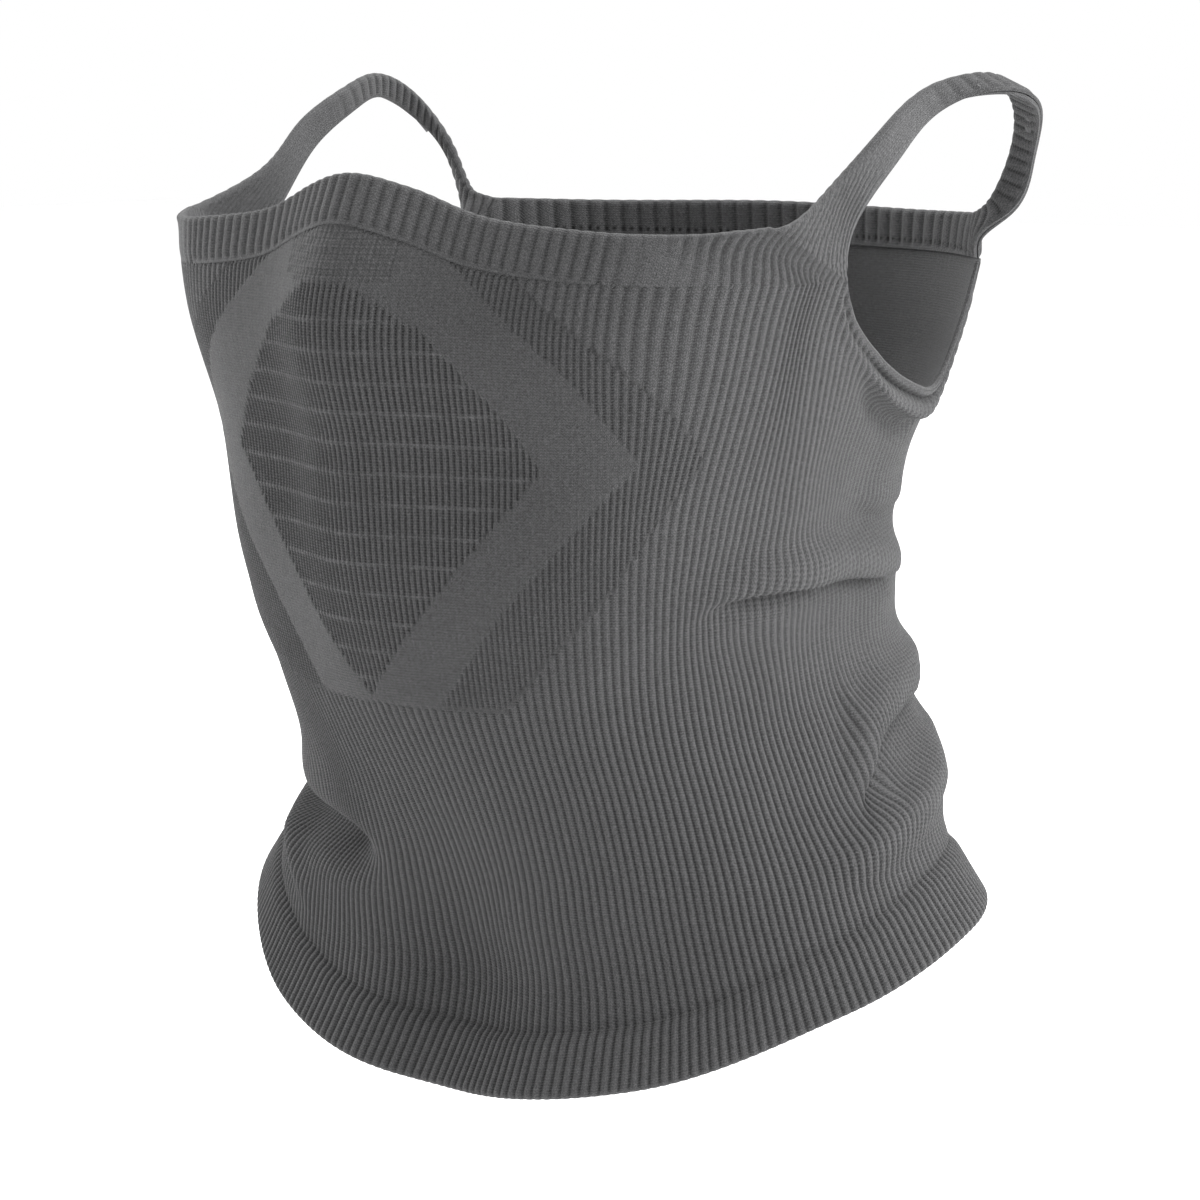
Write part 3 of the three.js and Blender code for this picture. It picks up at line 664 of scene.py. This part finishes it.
def ring_controls(loop_ear):
    """Paired points of the top welt's fold and seam, from the front to the nape, with their wales."""
    folds, seams, fold_wales, seam_wales = [], [], [], []
    for s in np.linspace(0, LOOP_START, 40):
        t = s + ease(LEAD_START, LOOP_START, s) * (FRONT_CORNER - LOOP_START)
        folds.append(wall(s, height_along(NOSE_TOP, s)))
        seams.append(wall(t, height_along(TOP_SEAM, t)))
        fold_wales.append(s * WALES)
        seam_wales.append(t * WALES)
    first = len(folds) - 1
    for fold, seam in zip(LOOP_TOP, loop_ear):
        folds.append(np.array(fold, float))
        seams.append(np.array(seam, float))
    folds.append(wall(0.36, height_along(NAPE_TOP, 0.36)))
    seams.append(np.array(LOOP_REAR_EAR, float))
    last = len(folds)
    rear_fold_wales, rear_seam_wales = [], []
    for s in np.linspace(LOOP_END, 0.5, 36):
        t = s - (1 - ease(LOOP_END, LAG_END, s)) * (LOOP_END - REAR_CORNER)
        folds.append(wall(s, height_along(NAPE_TOP, s)))
        seams.append(wall(t, height_along(REAR_SEAM, t)))
        rear_fold_wales.append(s * WALES + LOOP_WALES)
        rear_seam_wales.append(t * WALES + LOOP_WALES)
    folds, seams = np.array(folds), np.array(seams)
    chord = 0.5 * (np.linalg.norm(np.diff(folds, axis=0), axis=1) + np.linalg.norm(np.diff(seams, axis=0), axis=1))
    run = np.concatenate([[0], np.cumsum(chord)])
    place = np.linspace(0, 1, 61)[1:-1]
    lead = seam_wales[-1] - fold_wales[-1]
    lag = rear_seam_wales[0] - rear_fold_wales[0]
    start, end = fold_wales[-1] + lead / 2, rear_fold_wales[0] + lag / 2
    middle = hermite([0, 0.45, 1], [start, start + 0.25 * (end - start), end], place)
    ahead = lead * (1 - ease(0, 0.42, place)) + lag * ease(0.88, 1, place)
    wale_run = np.concatenate([run[:first + 1], run[first] + place * (run[last] - run[first]), run[last:]])
    fold_wales = np.concatenate([fold_wales, middle - ahead / 2, rear_fold_wales])
    seam_wales = np.concatenate([seam_wales, middle + ahead / 2, rear_seam_wales])
    return run, folds, seams, wale_run, fold_wales, seam_wales, first, last


def ring_at(q, ring):
    """Fold points, seam points and their wales at distances q along the half ring, mirrored at both ends.

    The fold is one smooth curve. The seam turns sharply where the ear opening begins and ends.
    """
    run, folds, seams, wale_run, fold_wales, seam_wales, first, last = ring
    loop_from, loop_to = run[first], run[last]
    k = 6
    flip = np.array([-1.0, 1, 1])
    runs = np.concatenate([-run[k:0:-1], run, 2 * run[-1] - run[-2:-2 - k:-1]])

    def spread(points):
        return np.concatenate([points[k:0:-1] * flip, points, points[-2:-2 - k:-1] * flip])

    fold = natural_spline(runs, spread(folds), q)
    seams = spread(seams)
    a, b = k + first, k + last
    front = natural_spline(runs[:a + 1], seams[:a + 1], np.minimum(q, loop_from))
    loop = natural_spline(runs[a:b + 1], seams[a:b + 1], np.clip(q, loop_from, loop_to))
    rear = natural_spline(runs[b:], seams[b:], np.maximum(q, loop_to))
    seam = np.where((q < loop_from)[:, None], front, np.where((q > loop_to)[:, None], rear, loop))
    return fold, seam, np.interp(q, wale_run, fold_wales), np.interp(q, wale_run, seam_wales)


def ring_frames(start, end, ring):
    """fold, seam, outward and rising directions, width and wales at even stations along the half ring."""
    q = np.linspace(start, end, round((end - start) / STATION) + 1)
    fold, seam, fold_wale, seam_wale = ring_at(q, ring)
    step = 0.5
    f0, s0, _, _ = ring_at(q - step, ring)
    f1, s1, _, _ = ring_at(q + step, ring)
    along = (f1 + s1) - (f0 + s0)
    rise = fold - seam
    out = unit(np.cross(along, rise))
    return fold, seam, out, unit(rise), np.linalg.norm(rise, axis=1), fold_wale, seam_wale


LAYER = 0.75
HALF_THICK = 1.25
BAND_OUT = 0.45  # how far a welt stands outside the knit
FOLD_STEPS = 7


def welt_section(width, steps, closed_seam, dip, dip_width):
    """Section of a turned welt for each station: (out, rise, side) rows of points.

    It runs up the outer face, over the fold, down the inner face, and back between the layers.
    closed_seam draws the layers together at the seam, for a loop whose seam is a free edge.
    """
    top = width - HALF_THICK
    middle = BAND_OUT - HALF_THICK
    rise = np.linspace(0, 1, steps)[None, :] ** 1.15 * top[:, None]
    pinch = bell(rise, 0, 0.9) * closed_seam[:, None] * (HALF_THICK - 0.75)
    face_out = BAND_OUT - pinch - bell(rise, 0, dip_width[:, None]) * dip[:, None]
    face_in = BAND_OUT - 2 * HALF_THICK + pinch
    rows = [(face_out[:, j], rise[:, j], 1.0) for j in range(steps)]
    for j in range(1, FOLD_STEPS):
        a = math.pi * j / FOLD_STEPS
        rows.append((middle + HALF_THICK * math.cos(a) + 0 * top, top + HALF_THICK * math.sin(a), math.cos(a)))
    rows += [(face_in[:, j], rise[:, j], -1.0) for j in range(steps - 1, -1, -1)]
    rows += [(np.minimum(face_in[:, j] + LAYER, middle - 0.1), rise[:, j], 0.0) for j in range(steps)]
    inner_fold = HALF_THICK - LAYER
    for j in range(1, FOLD_STEPS):
        a = math.pi - math.pi * j / FOLD_STEPS
        rows.append((middle + inner_fold * math.cos(a) + 0 * top, top + inner_fold * math.sin(a), 0.0))
    rows += [(np.maximum(face_out[:, j] - LAYER, middle + 0.1), rise[:, j], 0.0) for j in range(steps - 1, -1, -1)]
    out = np.stack([r[0] for r in rows], axis=1)
    up = np.stack([r[1] for r in rows], axis=1)
    side = np.array([r[2] for r in rows])
    return out, up, np.broadcast_to(side, out.shape)


def welt(name, frames, steps, period, outer, inner, closed_seam, dip, dip_width, seam_shade=0, ring=False):
    """Turned welt over the frames, ribbed on both faces by its wales.

    outer and inner give each face's rib height in mm and how dark its grooves are painted as shade, one value a
    station. seam_shade is how much painted shade darkens the outer face at the seam, and how dark the eyelets
    along the inner face's seam are painted, as shade in their holes.
    """
    fold, seam, out, rise, width, fold_wale, seam_wale = frames
    offset, up, side = welt_section(width, steps, closed_seam, dip, dip_width)
    share = np.clip(up / width[:, None], 0, 1)
    wale = seam_wale[:, None] * (1 - share) + fold_wale[:, None] * share
    ribs = rib_height(wale, period[:, None], 1.0, 1.8)
    seamed = np.clip(closed_seam + (dip > 0) * (dip_width < 1.5), 0, 1)
    fade = 1 - (1 - ease(0.2, 1.4, up)) * seamed[:, None]
    # Each face's rib height and the painted shade of its grooves, faded near a closed seam.
    height, groove = (
        np.where(side > 0, outer[k][:, None] * side, inner[k][:, None] * -side) * fade for k in (0, 1)
    )
    relief = ribs * height
    rounded = np.sqrt(np.clip(1 - side * side, 0, 1)) * (side != 0)
    points = (
        seam[:, None, :]
        + out[:, None, :] * (offset + relief * side)[..., None]
        + rise[:, None, :] * (up + relief * rounded)[..., None]
    )
    course = np.concatenate([np.zeros((len(width), 1)), np.cumsum(
        np.hypot(np.diff(offset, axis=1), np.diff(up, axis=1)), axis=1)], axis=1) / COURSE
    uv = np.stack([wale, course], axis=-1)
    uv = np.concatenate([uv, uv[:, :1]], axis=1)
    uv = np.concatenate([uv, uv[:1] if ring else uv[-1:]], axis=0)
    if ring:
        uv[-1, :, 0] += WALES * np.sign(wale[-1, 0] - wale[0, 0])
    eyelet = bell(up, 1.9, 0.5) * ease(0.45, 0.8, 0.5 + 0.5 * np.cos(2 * math.pi * wale / 3))
    # Painted shade along the outer face's seam, and dark dots for the shade in the inner face's eyelet holes; the
    # inner faces get the painted inside light.
    shade = 1 - seam_shade * np.where(side > 0, bell(up, 0, 0.45), 1.8 * eyelet) * (1 - closed_seam[:, None])
    shade = shade * (1 - (1 - INSIDE_SHADE) * ease(0.2, -0.6, side))
    values = (shade, np.broadcast_to(period[:, None], shade.shape), groove)
    return swept(name, points, uv, values, ring)


def both_halves(frames):
    """Frames of the whole nose or nape part from those of its half on the wearer's left, front first."""
    flip = np.array([-1.0, 1, 1])
    fold, seam, out, rise, width, fold_wale, seam_wale = frames
    vector = [np.concatenate([(v * flip)[:0:-1], v]) for v in (fold, seam, out, rise)]
    number = [np.concatenate([w[:0:-1], w]) for w in (width,)]
    signed = [np.concatenate([-w[:0:-1], w]) for w in (fold_wale, seam_wale)]
    return (*vector, *number, *signed)


def mirrored(obj, name):
    """Copy of a piece for the other side."""
    mesh = obj.data.copy()
    mesh.transform(Matrix.Scale(-1, 4, (1, 0, 0)))
    mesh.flip_normals()
    copy = bpy.data.objects.new(name, mesh)
    bpy.context.scene.collection.objects.link(copy)
    return copy


STATION = 0.4  # spacing of sections along a welt
BAND_STEPS, LOOP_STEPS, HEM_STEPS = 34, 52, 12  # points up one face of each welt
SEAM_DIP, NOSE_DIP, FLUSH_WIDTH = 0.7, 1.4, 3.0  # widths of the dips that bring a welt down to its seam


def ear_loop(name, ring, start, end):
    """One ear loop, ribbed outside where the cheek's ribs stream into it and inside over its rear."""
    frames = ring_frames(start, end, ring)
    along = np.linspace(0, 1, len(frames[4]))
    period = np.where(along < 0.3, float(RIB), float(NAPE_RIB))
    streaming = 1 - ease(0.12, 0.28, along)
    across = ease(0.32, 0.55, along)
    outer = (0.38 * streaming + 0.25 * across, 0.6 * streaming + 0.4 * across)
    inner = (0.2 * streaming + 0.38 * across, 0.3 * streaming + 0.9 * across)
    closed = ease(0.02, 0.08, along)
    dip = BAND_OUT * (1 - ease(0, 0.1, along) * (1 - ease(0.93, 1, along)))
    flush = np.full(len(along), FLUSH_WIDTH)
    return welt(name, frames, LOOP_STEPS, period, outer, inner, closed, dip, flush)


def build_top_ring():
    """Nose welt, nape welt and the two ear loops, which share one ring."""
    ring = ring_controls(LOOP_EAR)
    loop_from, loop_to = ring[0][ring[-2]], ring[0][ring[-1]]
    nose = both_halves(ring_frames(0, loop_from, ring))
    place = np.abs(nose[5]) / WALES
    sideways = ease(0.1, 0.14, place)
    period = np.where(place < 0.12, float(NOSE_RIB), float(RIB))
    calm = np.abs(1 - 2 * ease(0.105, 0.135, place))
    nose_ribs = (0.4 * calm, calm * (0.7 - 0.1 * sideways))
    dip = np.full(len(place), BAND_OUT)
    dip_width = NOSE_DIP + (FLUSH_WIDTH - NOSE_DIP) * sideways
    none = np.zeros(len(place))
    pieces = {}
    pieces["nose_band"] = welt(
        "nose_band_knit", nose, BAND_STEPS, period, nose_ribs, nose_ribs, none, dip, dip_width
    )

    flip = np.array([-1.0, 1, 1])
    fold, seam, out, rise, width, fold_wale, seam_wale = ring_frames(loop_to, ring[0][-1], ring)
    centre = fold_wale[-1]
    vector = [np.concatenate([v, (v * flip)[-2::-1]]) for v in (fold, seam, out, rise)]
    wales = [np.concatenate([w, 2 * centre - w[-2::-1]]) for w in (fold_wale, seam_wale)]
    nape = (*vector, np.concatenate([width, width[-2::-1]]), *wales)
    n = len(nape[4])
    from_end = np.minimum(np.arange(n), np.arange(n)[::-1]) * STATION
    even = np.full(n, 1.0)
    dip = BAND_OUT + (0.45 - BAND_OUT) * ease(2, 10, from_end)
    dip_width = FLUSH_WIDTH + (SEAM_DIP - FLUSH_WIDTH) * ease(2, 10, from_end)
    nape_ribs = (0.42 * even, 0.75 * even)
    pieces["nape_band"] = welt(
        "nape_band_knit", nape, BAND_STEPS, NAPE_RIB * even, nape_ribs, nape_ribs, 1 - ease(0.5, 4, from_end),
        dip, dip_width, seam_shade=0.45,
    )

    pieces["ear_loop_left"] = ear_loop("ear_loop_left_knit", ring, loop_from, loop_to)
    ring = ring_controls(RIGHT_LOOP_EAR)
    as_left = ear_loop("ear_loop_right_as_left", ring, ring[0][ring[-2]], ring[0][ring[-1]])
    pieces["ear_loop_right"] = mirrored(as_left, "ear_loop_right_knit")
    bpy.data.objects.remove(as_left)
    return pieces


def build_bottom_band():
    shares = np.arange(COLUMNS) / COLUMNS - 0.5
    hem = height_along(HEM, shares)
    seam = wall(shares, hem + BOTTOM_BAND)
    fold = wall(shares, hem)
    flare = unit(wall_normal(shares, hem) * np.array([1, 1, 0])) * 2.0
    fold = fold + flare
    along = np.roll(seam + fold, -1, axis=0) - np.roll(seam + fold, 1, axis=0)
    rise = fold - seam
    out = -unit(np.cross(along, rise))
    wale = shares * WALES
    frames = (fold, seam, out, unit(rise), np.linalg.norm(rise, axis=1), wale, wale)
    frames = tuple(f[::-1].copy() for f in frames)
    even = np.full(COLUMNS, 1.0)
    ribs = (0.4 * even, 1.0 * even)
    return welt(
        "bottom_band_knit", frames, HEM_STEPS, RIB * even, ribs, ribs, 0 * even, 0.75 * even, 1.6 * even,
        ring=True,
    )


# ---------------------------------------------------------------- linking rows and rolled edges


def linking_row(name, shares, heights, depth, closed=False):
    """Chain of linking stitches that zigzags once a rib along a seam."""
    turns = shares * WALES / 2
    z = heights + 0.3 * np.sin(2 * math.pi * turns)
    sink = depth - 0.12 * np.cos(2 * math.pi * turns)
    normal = wall_normal(shares, heights)
    path = wall(shares, z) - normal * sink[:, None]
    return round_cord(name, path, 0.24, 6, (1.6, 3), 0.8, out=normal, closed=closed)


def build_linking_rows():
    per_wale = 4
    front = np.arange(-int(0.15 * WALES * per_wale), int(0.15 * WALES * per_wale) + 1) / (WALES * per_wale)
    rear = 0.5 + np.arange(-int(0.155 * WALES * per_wale), int(0.155 * WALES * per_wale) + 1) / (WALES * per_wale)
    whole = np.arange(WALES * per_wale) / (WALES * per_wale) - 0.5
    rear_heights = height_along(REAR_SEAM, 0.5 - np.abs(rear - 0.5))
    return {
        "nose_band_stitching": linking_row("nose_band_linking", front, height_along(TOP_SEAM, front), 0.34),
        "nape_band_stitching": linking_row("nape_band_linking", rear, rear_heights, 0.8),
        "bottom_band_stitching": linking_row("bottom_band_linking", whole, hem_seam(whole), 1.1, closed=True),
    }


def build_ear_edges():
    """Rolled edge round each ear opening, from under the front of the loop to under its rear."""
    shares = np.linspace(0.2145, 0.34, 260)
    z = height_along(EAR_EDGE, shares)
    points = wall(shares, z)
    run = np.concatenate([[0], np.cumsum(np.linalg.norm(np.diff(points, axis=0), axis=1))])
    even = np.interp(np.linspace(0, run[-1], 180), run, shares)
    z = height_along(EAR_EDGE, even)
    normal = wall_normal(even, z)
    path = wall(even, z + 0.1) - normal * (WALL / 2)
    run = np.linspace(0, run[-1], 180)
    taper = 0.55 + 0.45 * np.minimum(ease(0, 8, run), ease(0, 8, run[-1] - run))
    pucker = 1 + 0.05 * ripple(run, 0 * run, 21, 3.0)
    left = round_cord("ear_edge_left_knit", path, 0.5 * taper * pucker, 14, (1.1, 5), 1.05, flat=0.95, out=normal)
    return {"ear_edge_left": left, "ear_edge_right": mirrored(left, "ear_edge_right_knit")}


# ---------------------------------------------------------------- materials


class Nodes:
    """Short way to write a material's node tree."""

    def __init__(self, name):
        self.material = bpy.data.materials.new(name)
        self.material.use_nodes = True
        self.tree = self.material.node_tree
        self.tree.nodes.clear()

    def add(self, kind, **settings):
        node = self.tree.nodes.new(kind)
        for key, value in settings.items():
            setattr(node, key, value)
        return node

    def link(self, value, socket):
        if isinstance(value, bpy.types.NodeSocket):
            self.tree.links.new(value, socket)
        else:
            socket.default_value = value

    def math(self, operation, *values):
        node = self.add("ShaderNodeMath", operation=operation)
        for value, socket in zip(values, node.inputs):
            self.link(value, socket)
        return node.outputs[0]

    def noise(self, vector, scale, detail=2.0):
        node = self.add("ShaderNodeTexNoise")
        self.link(vector, node.inputs["Vector"])
        node.inputs["Scale"].default_value = scale
        node.inputs["Detail"].default_value = detail
        return node.outputs["Fac"]

    def wave(self, turns):
        """Cosine wave from 0 to 1, which is 1 at every whole turn."""
        cosine = self.math("COSINE", self.math("MULTIPLY", turns, 2 * math.pi))
        return self.math("MULTIPLY_ADD", cosine, 0.5, 0.5)

    def attribute(self, name):
        return self.add("ShaderNodeAttribute", attribute_name=name).outputs["Fac"]


def knit_material(name, color, pattern="ribs"):
    """Knitted yarn laid out by the knit coordinates: grooves between ribs, V-shaped stitches and fuzz.
    The grooves and the stitches' low parts are darkened as painted shade.

    The "courses" pattern adds the plain courses across the mesh, and "eyelets" the open grid on the nose.
    """
    n = Nodes(name)
    uv = n.add("ShaderNodeUVMap", uv_map="knit").outputs["UV"]
    place = n.add("ShaderNodeTexCoord").outputs["Object"]
    split = n.add("ShaderNodeSeparateXYZ")
    n.link(uv, split.inputs[0])
    fuzz = n.noise(place, 3100, 4.0)
    grain = n.noise(place, 1900, 2.0)
    cloudy = n.noise(place, 60, 3.0)
    u = n.math("MULTIPLY_ADD", n.math("SUBTRACT", grain, 0.5), 0.5, split.outputs["X"])
    v = n.math("MULTIPLY_ADD", n.math("SUBTRACT", fuzz, 0.5), 0.8, split.outputs["Y"])
    x = n.math("ABSOLUTE", n.math("SUBTRACT", n.math("FRACT", u), 0.5))
    leg = n.math("POWER", n.math("SINE", n.math("MULTIPLY", x, 2 * math.pi)), 0.6)
    bar = n.wave(n.math("MULTIPLY_ADD", x, 1.3, v))
    stitches = n.math("MULTIPLY", leg, bar)
    # Grooves between ribs, narrower for wider ribs and dotted along the courses: they deepen the bump and are
    # painted dark as shade.
    period = n.attribute("rib")
    across = n.wave(n.math("DIVIDE", u, period))
    groove = n.math("POWER", across, n.math("MULTIPLY_ADD", period, 0.7, -0.3))
    groove = n.math("MULTIPLY", groove, n.attribute("groove"))
    groove = n.math("MULTIPLY", groove, n.math("MULTIPLY_ADD", n.wave(v), 0.5, 0.5))
    light = 1.0
    if pattern == "courses":
        turn = n.math("DIVIDE", n.math("MULTIPLY_ADD", split.outputs["Y"], COURSE, -MESH_FIRST), MESH_COURSES)
        turn = n.math("MULTIPLY_ADD", n.math("SUBTRACT", n.noise(place, 130), 0.5), 0.16, turn)
        line = n.math("MULTIPLY", n.math("POWER", n.wave(turn), 30), n.math("LESS_THAN", turn, 0.2))
        broken = n.math("MULTIPLY_ADD", n.noise(place, 260), 3.0, -1.0)
        broken.node.use_clamp = True
        line = n.math("MULTIPLY", line, broken)
        groove = n.math("MULTIPLY", groove, n.math("MULTIPLY_ADD", line, -0.8, 1.0))
        light = n.math("MULTIPLY_ADD", line, 0.2, 1.0)
    if pattern == "eyelets":
        dots = n.math("MULTIPLY", n.wave(n.math("DIVIDE", u, 1.5)), n.wave(n.math("DIVIDE", v, 1.7)))
        light = n.math("MULTIPLY_ADD", dots, 0.45, 0.85)
    height = n.math("MULTIPLY_ADD", stitches, 0.7, fuzz)
    height = n.math("MULTIPLY_ADD", groove, -1.4, height)
    # The yarn's tone: painted shade darkens the stitches' low parts and, more, the grooves between ribs; fuzz, grain
    # and clouds vary it at random.
    tone = n.math("MULTIPLY_ADD", stitches, 0.42, 0.8)
    tone = n.math("MULTIPLY", tone, n.math("MULTIPLY_ADD", n.math("SUBTRACT", fuzz, 0.5), 1.7, 1.0))
    tone = n.math("MULTIPLY", tone, n.math("MULTIPLY_ADD", n.math("SUBTRACT", grain, 0.5), 0.7, 1.0))
    tone = n.math("MULTIPLY", tone, n.math("MULTIPLY_ADD", n.math("SUBTRACT", cloudy, 0.5), 0.12, 1.0))
    tone = n.math("MULTIPLY", tone, n.math("MULTIPLY_ADD", groove, -0.72, 1.0))
    tone = n.math("MULTIPLY", tone, light)
    tone = n.math("MULTIPLY", tone, n.attribute("shade"))
    scale = n.add("ShaderNodeVectorMath", operation="SCALE")
    scale.inputs[0].default_value = color
    n.link(tone, scale.inputs["Scale"])
    bump = n.add("ShaderNodeBump")
    bump.inputs["Strength"].default_value = 0.6
    bump.inputs["Distance"].default_value = 0.3 * MM
    n.link(height, bump.inputs["Height"])
    shader = n.add("ShaderNodeBsdfPrincipled")
    n.link(scale.outputs[0], shader.inputs["Base Color"])
    n.link(n.math("MULTIPLY_ADD", fuzz, 0.12, 0.86), shader.inputs["Roughness"])
    n.link(bump.outputs[0], shader.inputs["Normal"])
    shader.inputs["Specular IOR Level"].default_value = 0.15
    shader.inputs["Sheen Weight"].default_value = 0.12
    shader.inputs["Sheen Roughness"].default_value = 0.45
    output = n.add("ShaderNodeOutputMaterial")
    n.link(shader.outputs[0], output.inputs["Surface"])
    return n.material


def yarn_material(name, color, twist, roughness):
    """Plain twisted yarn, for the elastic laid in each welt."""
    n = Nodes(name)
    place = n.add("ShaderNodeTexCoord").outputs["Object"]
    wave = n.add("ShaderNodeTexWave", wave_type="BANDS", bands_direction="DIAGONAL")
    n.link(place, wave.inputs["Vector"])
    wave.inputs["Scale"].default_value = twist
    wave.inputs["Distortion"].default_value = 1.5
    fuzz = n.noise(place, 2500, 4.0)
    tone = n.math("MULTIPLY_ADD", wave.outputs["Fac"], 0.35, n.math("MULTIPLY_ADD", fuzz, 0.4, 0.6))
    scale = n.add("ShaderNodeVectorMath", operation="SCALE")
    scale.inputs[0].default_value = color
    n.link(tone, scale.inputs["Scale"])
    bump = n.add("ShaderNodeBump")
    bump.inputs["Strength"].default_value = 0.5
    bump.inputs["Distance"].default_value = 0.2 * MM
    n.link(wave.outputs["Fac"], bump.inputs["Height"])
    shader = n.add("ShaderNodeBsdfPrincipled")
    n.link(scale.outputs[0], shader.inputs["Base Color"])
    n.link(n.math("MULTIPLY_ADD", fuzz, 0.2, roughness - 0.1), shader.inputs["Roughness"])
    n.link(bump.outputs[0], shader.inputs["Normal"])
    output = n.add("ShaderNodeOutputMaterial")
    n.link(shader.outputs[0], output.inputs["Surface"])
    return n.material


GREY = (0.067, 0.067, 0.0684)
RIB_KNIT = knit_material("ribbed knit", GREY)
MESH_KNIT = knit_material("mesh knit", GREY, "courses")
PATCH_KNIT = knit_material("open nose knit", GREY, "eyelets")
LINKING = knit_material("linking yarn", (0.075, 0.075, 0.0762))
ELASTIC = yarn_material("elastic yarn", (0.1, 0.1, 0.102), 900, 0.7)
LOOKS = {"mouth_mesh": MESH_KNIT, "nose_mesh_patch": PATCH_KNIT}

# ---------------------------------------------------------------- assembly

pieces = build_wall()
pieces.update(build_top_ring())
pieces["bottom_band"] = build_bottom_band()
linking_rows = build_linking_rows()
pieces.update(linking_rows)
ear_edges = build_ear_edges()
pieces.update(ear_edges)
LOOKS.update({node: LINKING for node in linking_rows})

for node, obj in pieces.items():
    obj.data.materials.clear()
    obj.data.materials.append(LOOKS.get(node, RIB_KNIT))
    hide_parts(node)

for node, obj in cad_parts.items():
    if "elastic" in node:
        obj.data.materials.clear()
        obj.data.materials.append(ELASTIC)

for node, obj in pieces.items():
    if node in ("ear_loop_left", "ear_loop_right"):
        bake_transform(obj)
    else:
        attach(obj, "root")

# ---------------------------------------------------------------- stage, light and camera

low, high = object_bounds()
FLOOR_DROP = 45
bpy.ops.mesh.primitive_plane_add(size=8, location=(0, 0, low[2] - FLOOR_DROP * MM))
floor = bpy.context.object
floor.name = "floor"
paper = Nodes("pale floor")
paper_shader = paper.add("ShaderNodeBsdfPrincipled")
paper_shader.inputs["Base Color"].default_value = (0.99, 0.99, 0.99, 1)
paper_shader.inputs["Roughness"].default_value = 0.9
paper.link(paper_shader.outputs[0], paper.add("ShaderNodeOutputMaterial").inputs["Surface"])
floor.data.materials.append(paper.material)

world = bpy.data.worlds.new("studio")
bpy.context.scene.world = world
world.use_nodes = True
world.node_tree.nodes["Background"].inputs["Color"].default_value = (1, 1, 1, 1)
world.node_tree.nodes["Background"].inputs["Strength"].default_value = 1.0
bpy.context.scene.view_settings.view_transform = "Standard"


def softbox(name, place, size, power):
    """Square area light at a place in metres, facing the object."""
    light = bpy.data.lights.new(name, "AREA")
    light.shape = "SQUARE"
    light.size = size
    light.energy = power
    obj = bpy.data.objects.new(name, light)
    obj.location = place
    aim = Vector((0, 0, -0.06)) - Vector(place)
    obj.rotation_euler = aim.to_track_quat("-Z", "Y").to_euler()
    bpy.context.scene.collection.objects.link(obj)


softbox("left light", (-1.3, 0.1, 0.4), 0.8, 18)
softbox("right light", (1.3, 0.45, 0.6), 0.8, 27)
softbox("top light", (0.4, 0.4, 1.4), 1.0, 24)

AZIMUTH, ELEVATION = math.radians(36.9), math.radians(10.3)
DISTANCE = 602.8
AIM_RIGHT, AIM_UP = -5.83, -75.09
LENS = 85.9
right = Vector((math.cos(AZIMUTH), math.sin(AZIMUTH), 0))
back = Vector((
    math.sin(AZIMUTH) * math.cos(ELEVATION), -math.cos(AZIMUTH) * math.cos(ELEVATION), math.sin(ELEVATION),
))
up = back.cross(right)
camera_data = bpy.data.cameras.new("camera")
camera_data.lens = LENS
camera_data.sensor_width = 36
camera = bpy.data.objects.new("camera", camera_data)
camera.location = (back * DISTANCE + right * AIM_RIGHT + up * AIM_UP) * MM
camera.rotation_euler = Matrix((right, up, back)).transposed().to_euler()
bpy.context.scene.collection.objects.link(camera)
bpy.context.scene.camera = camera
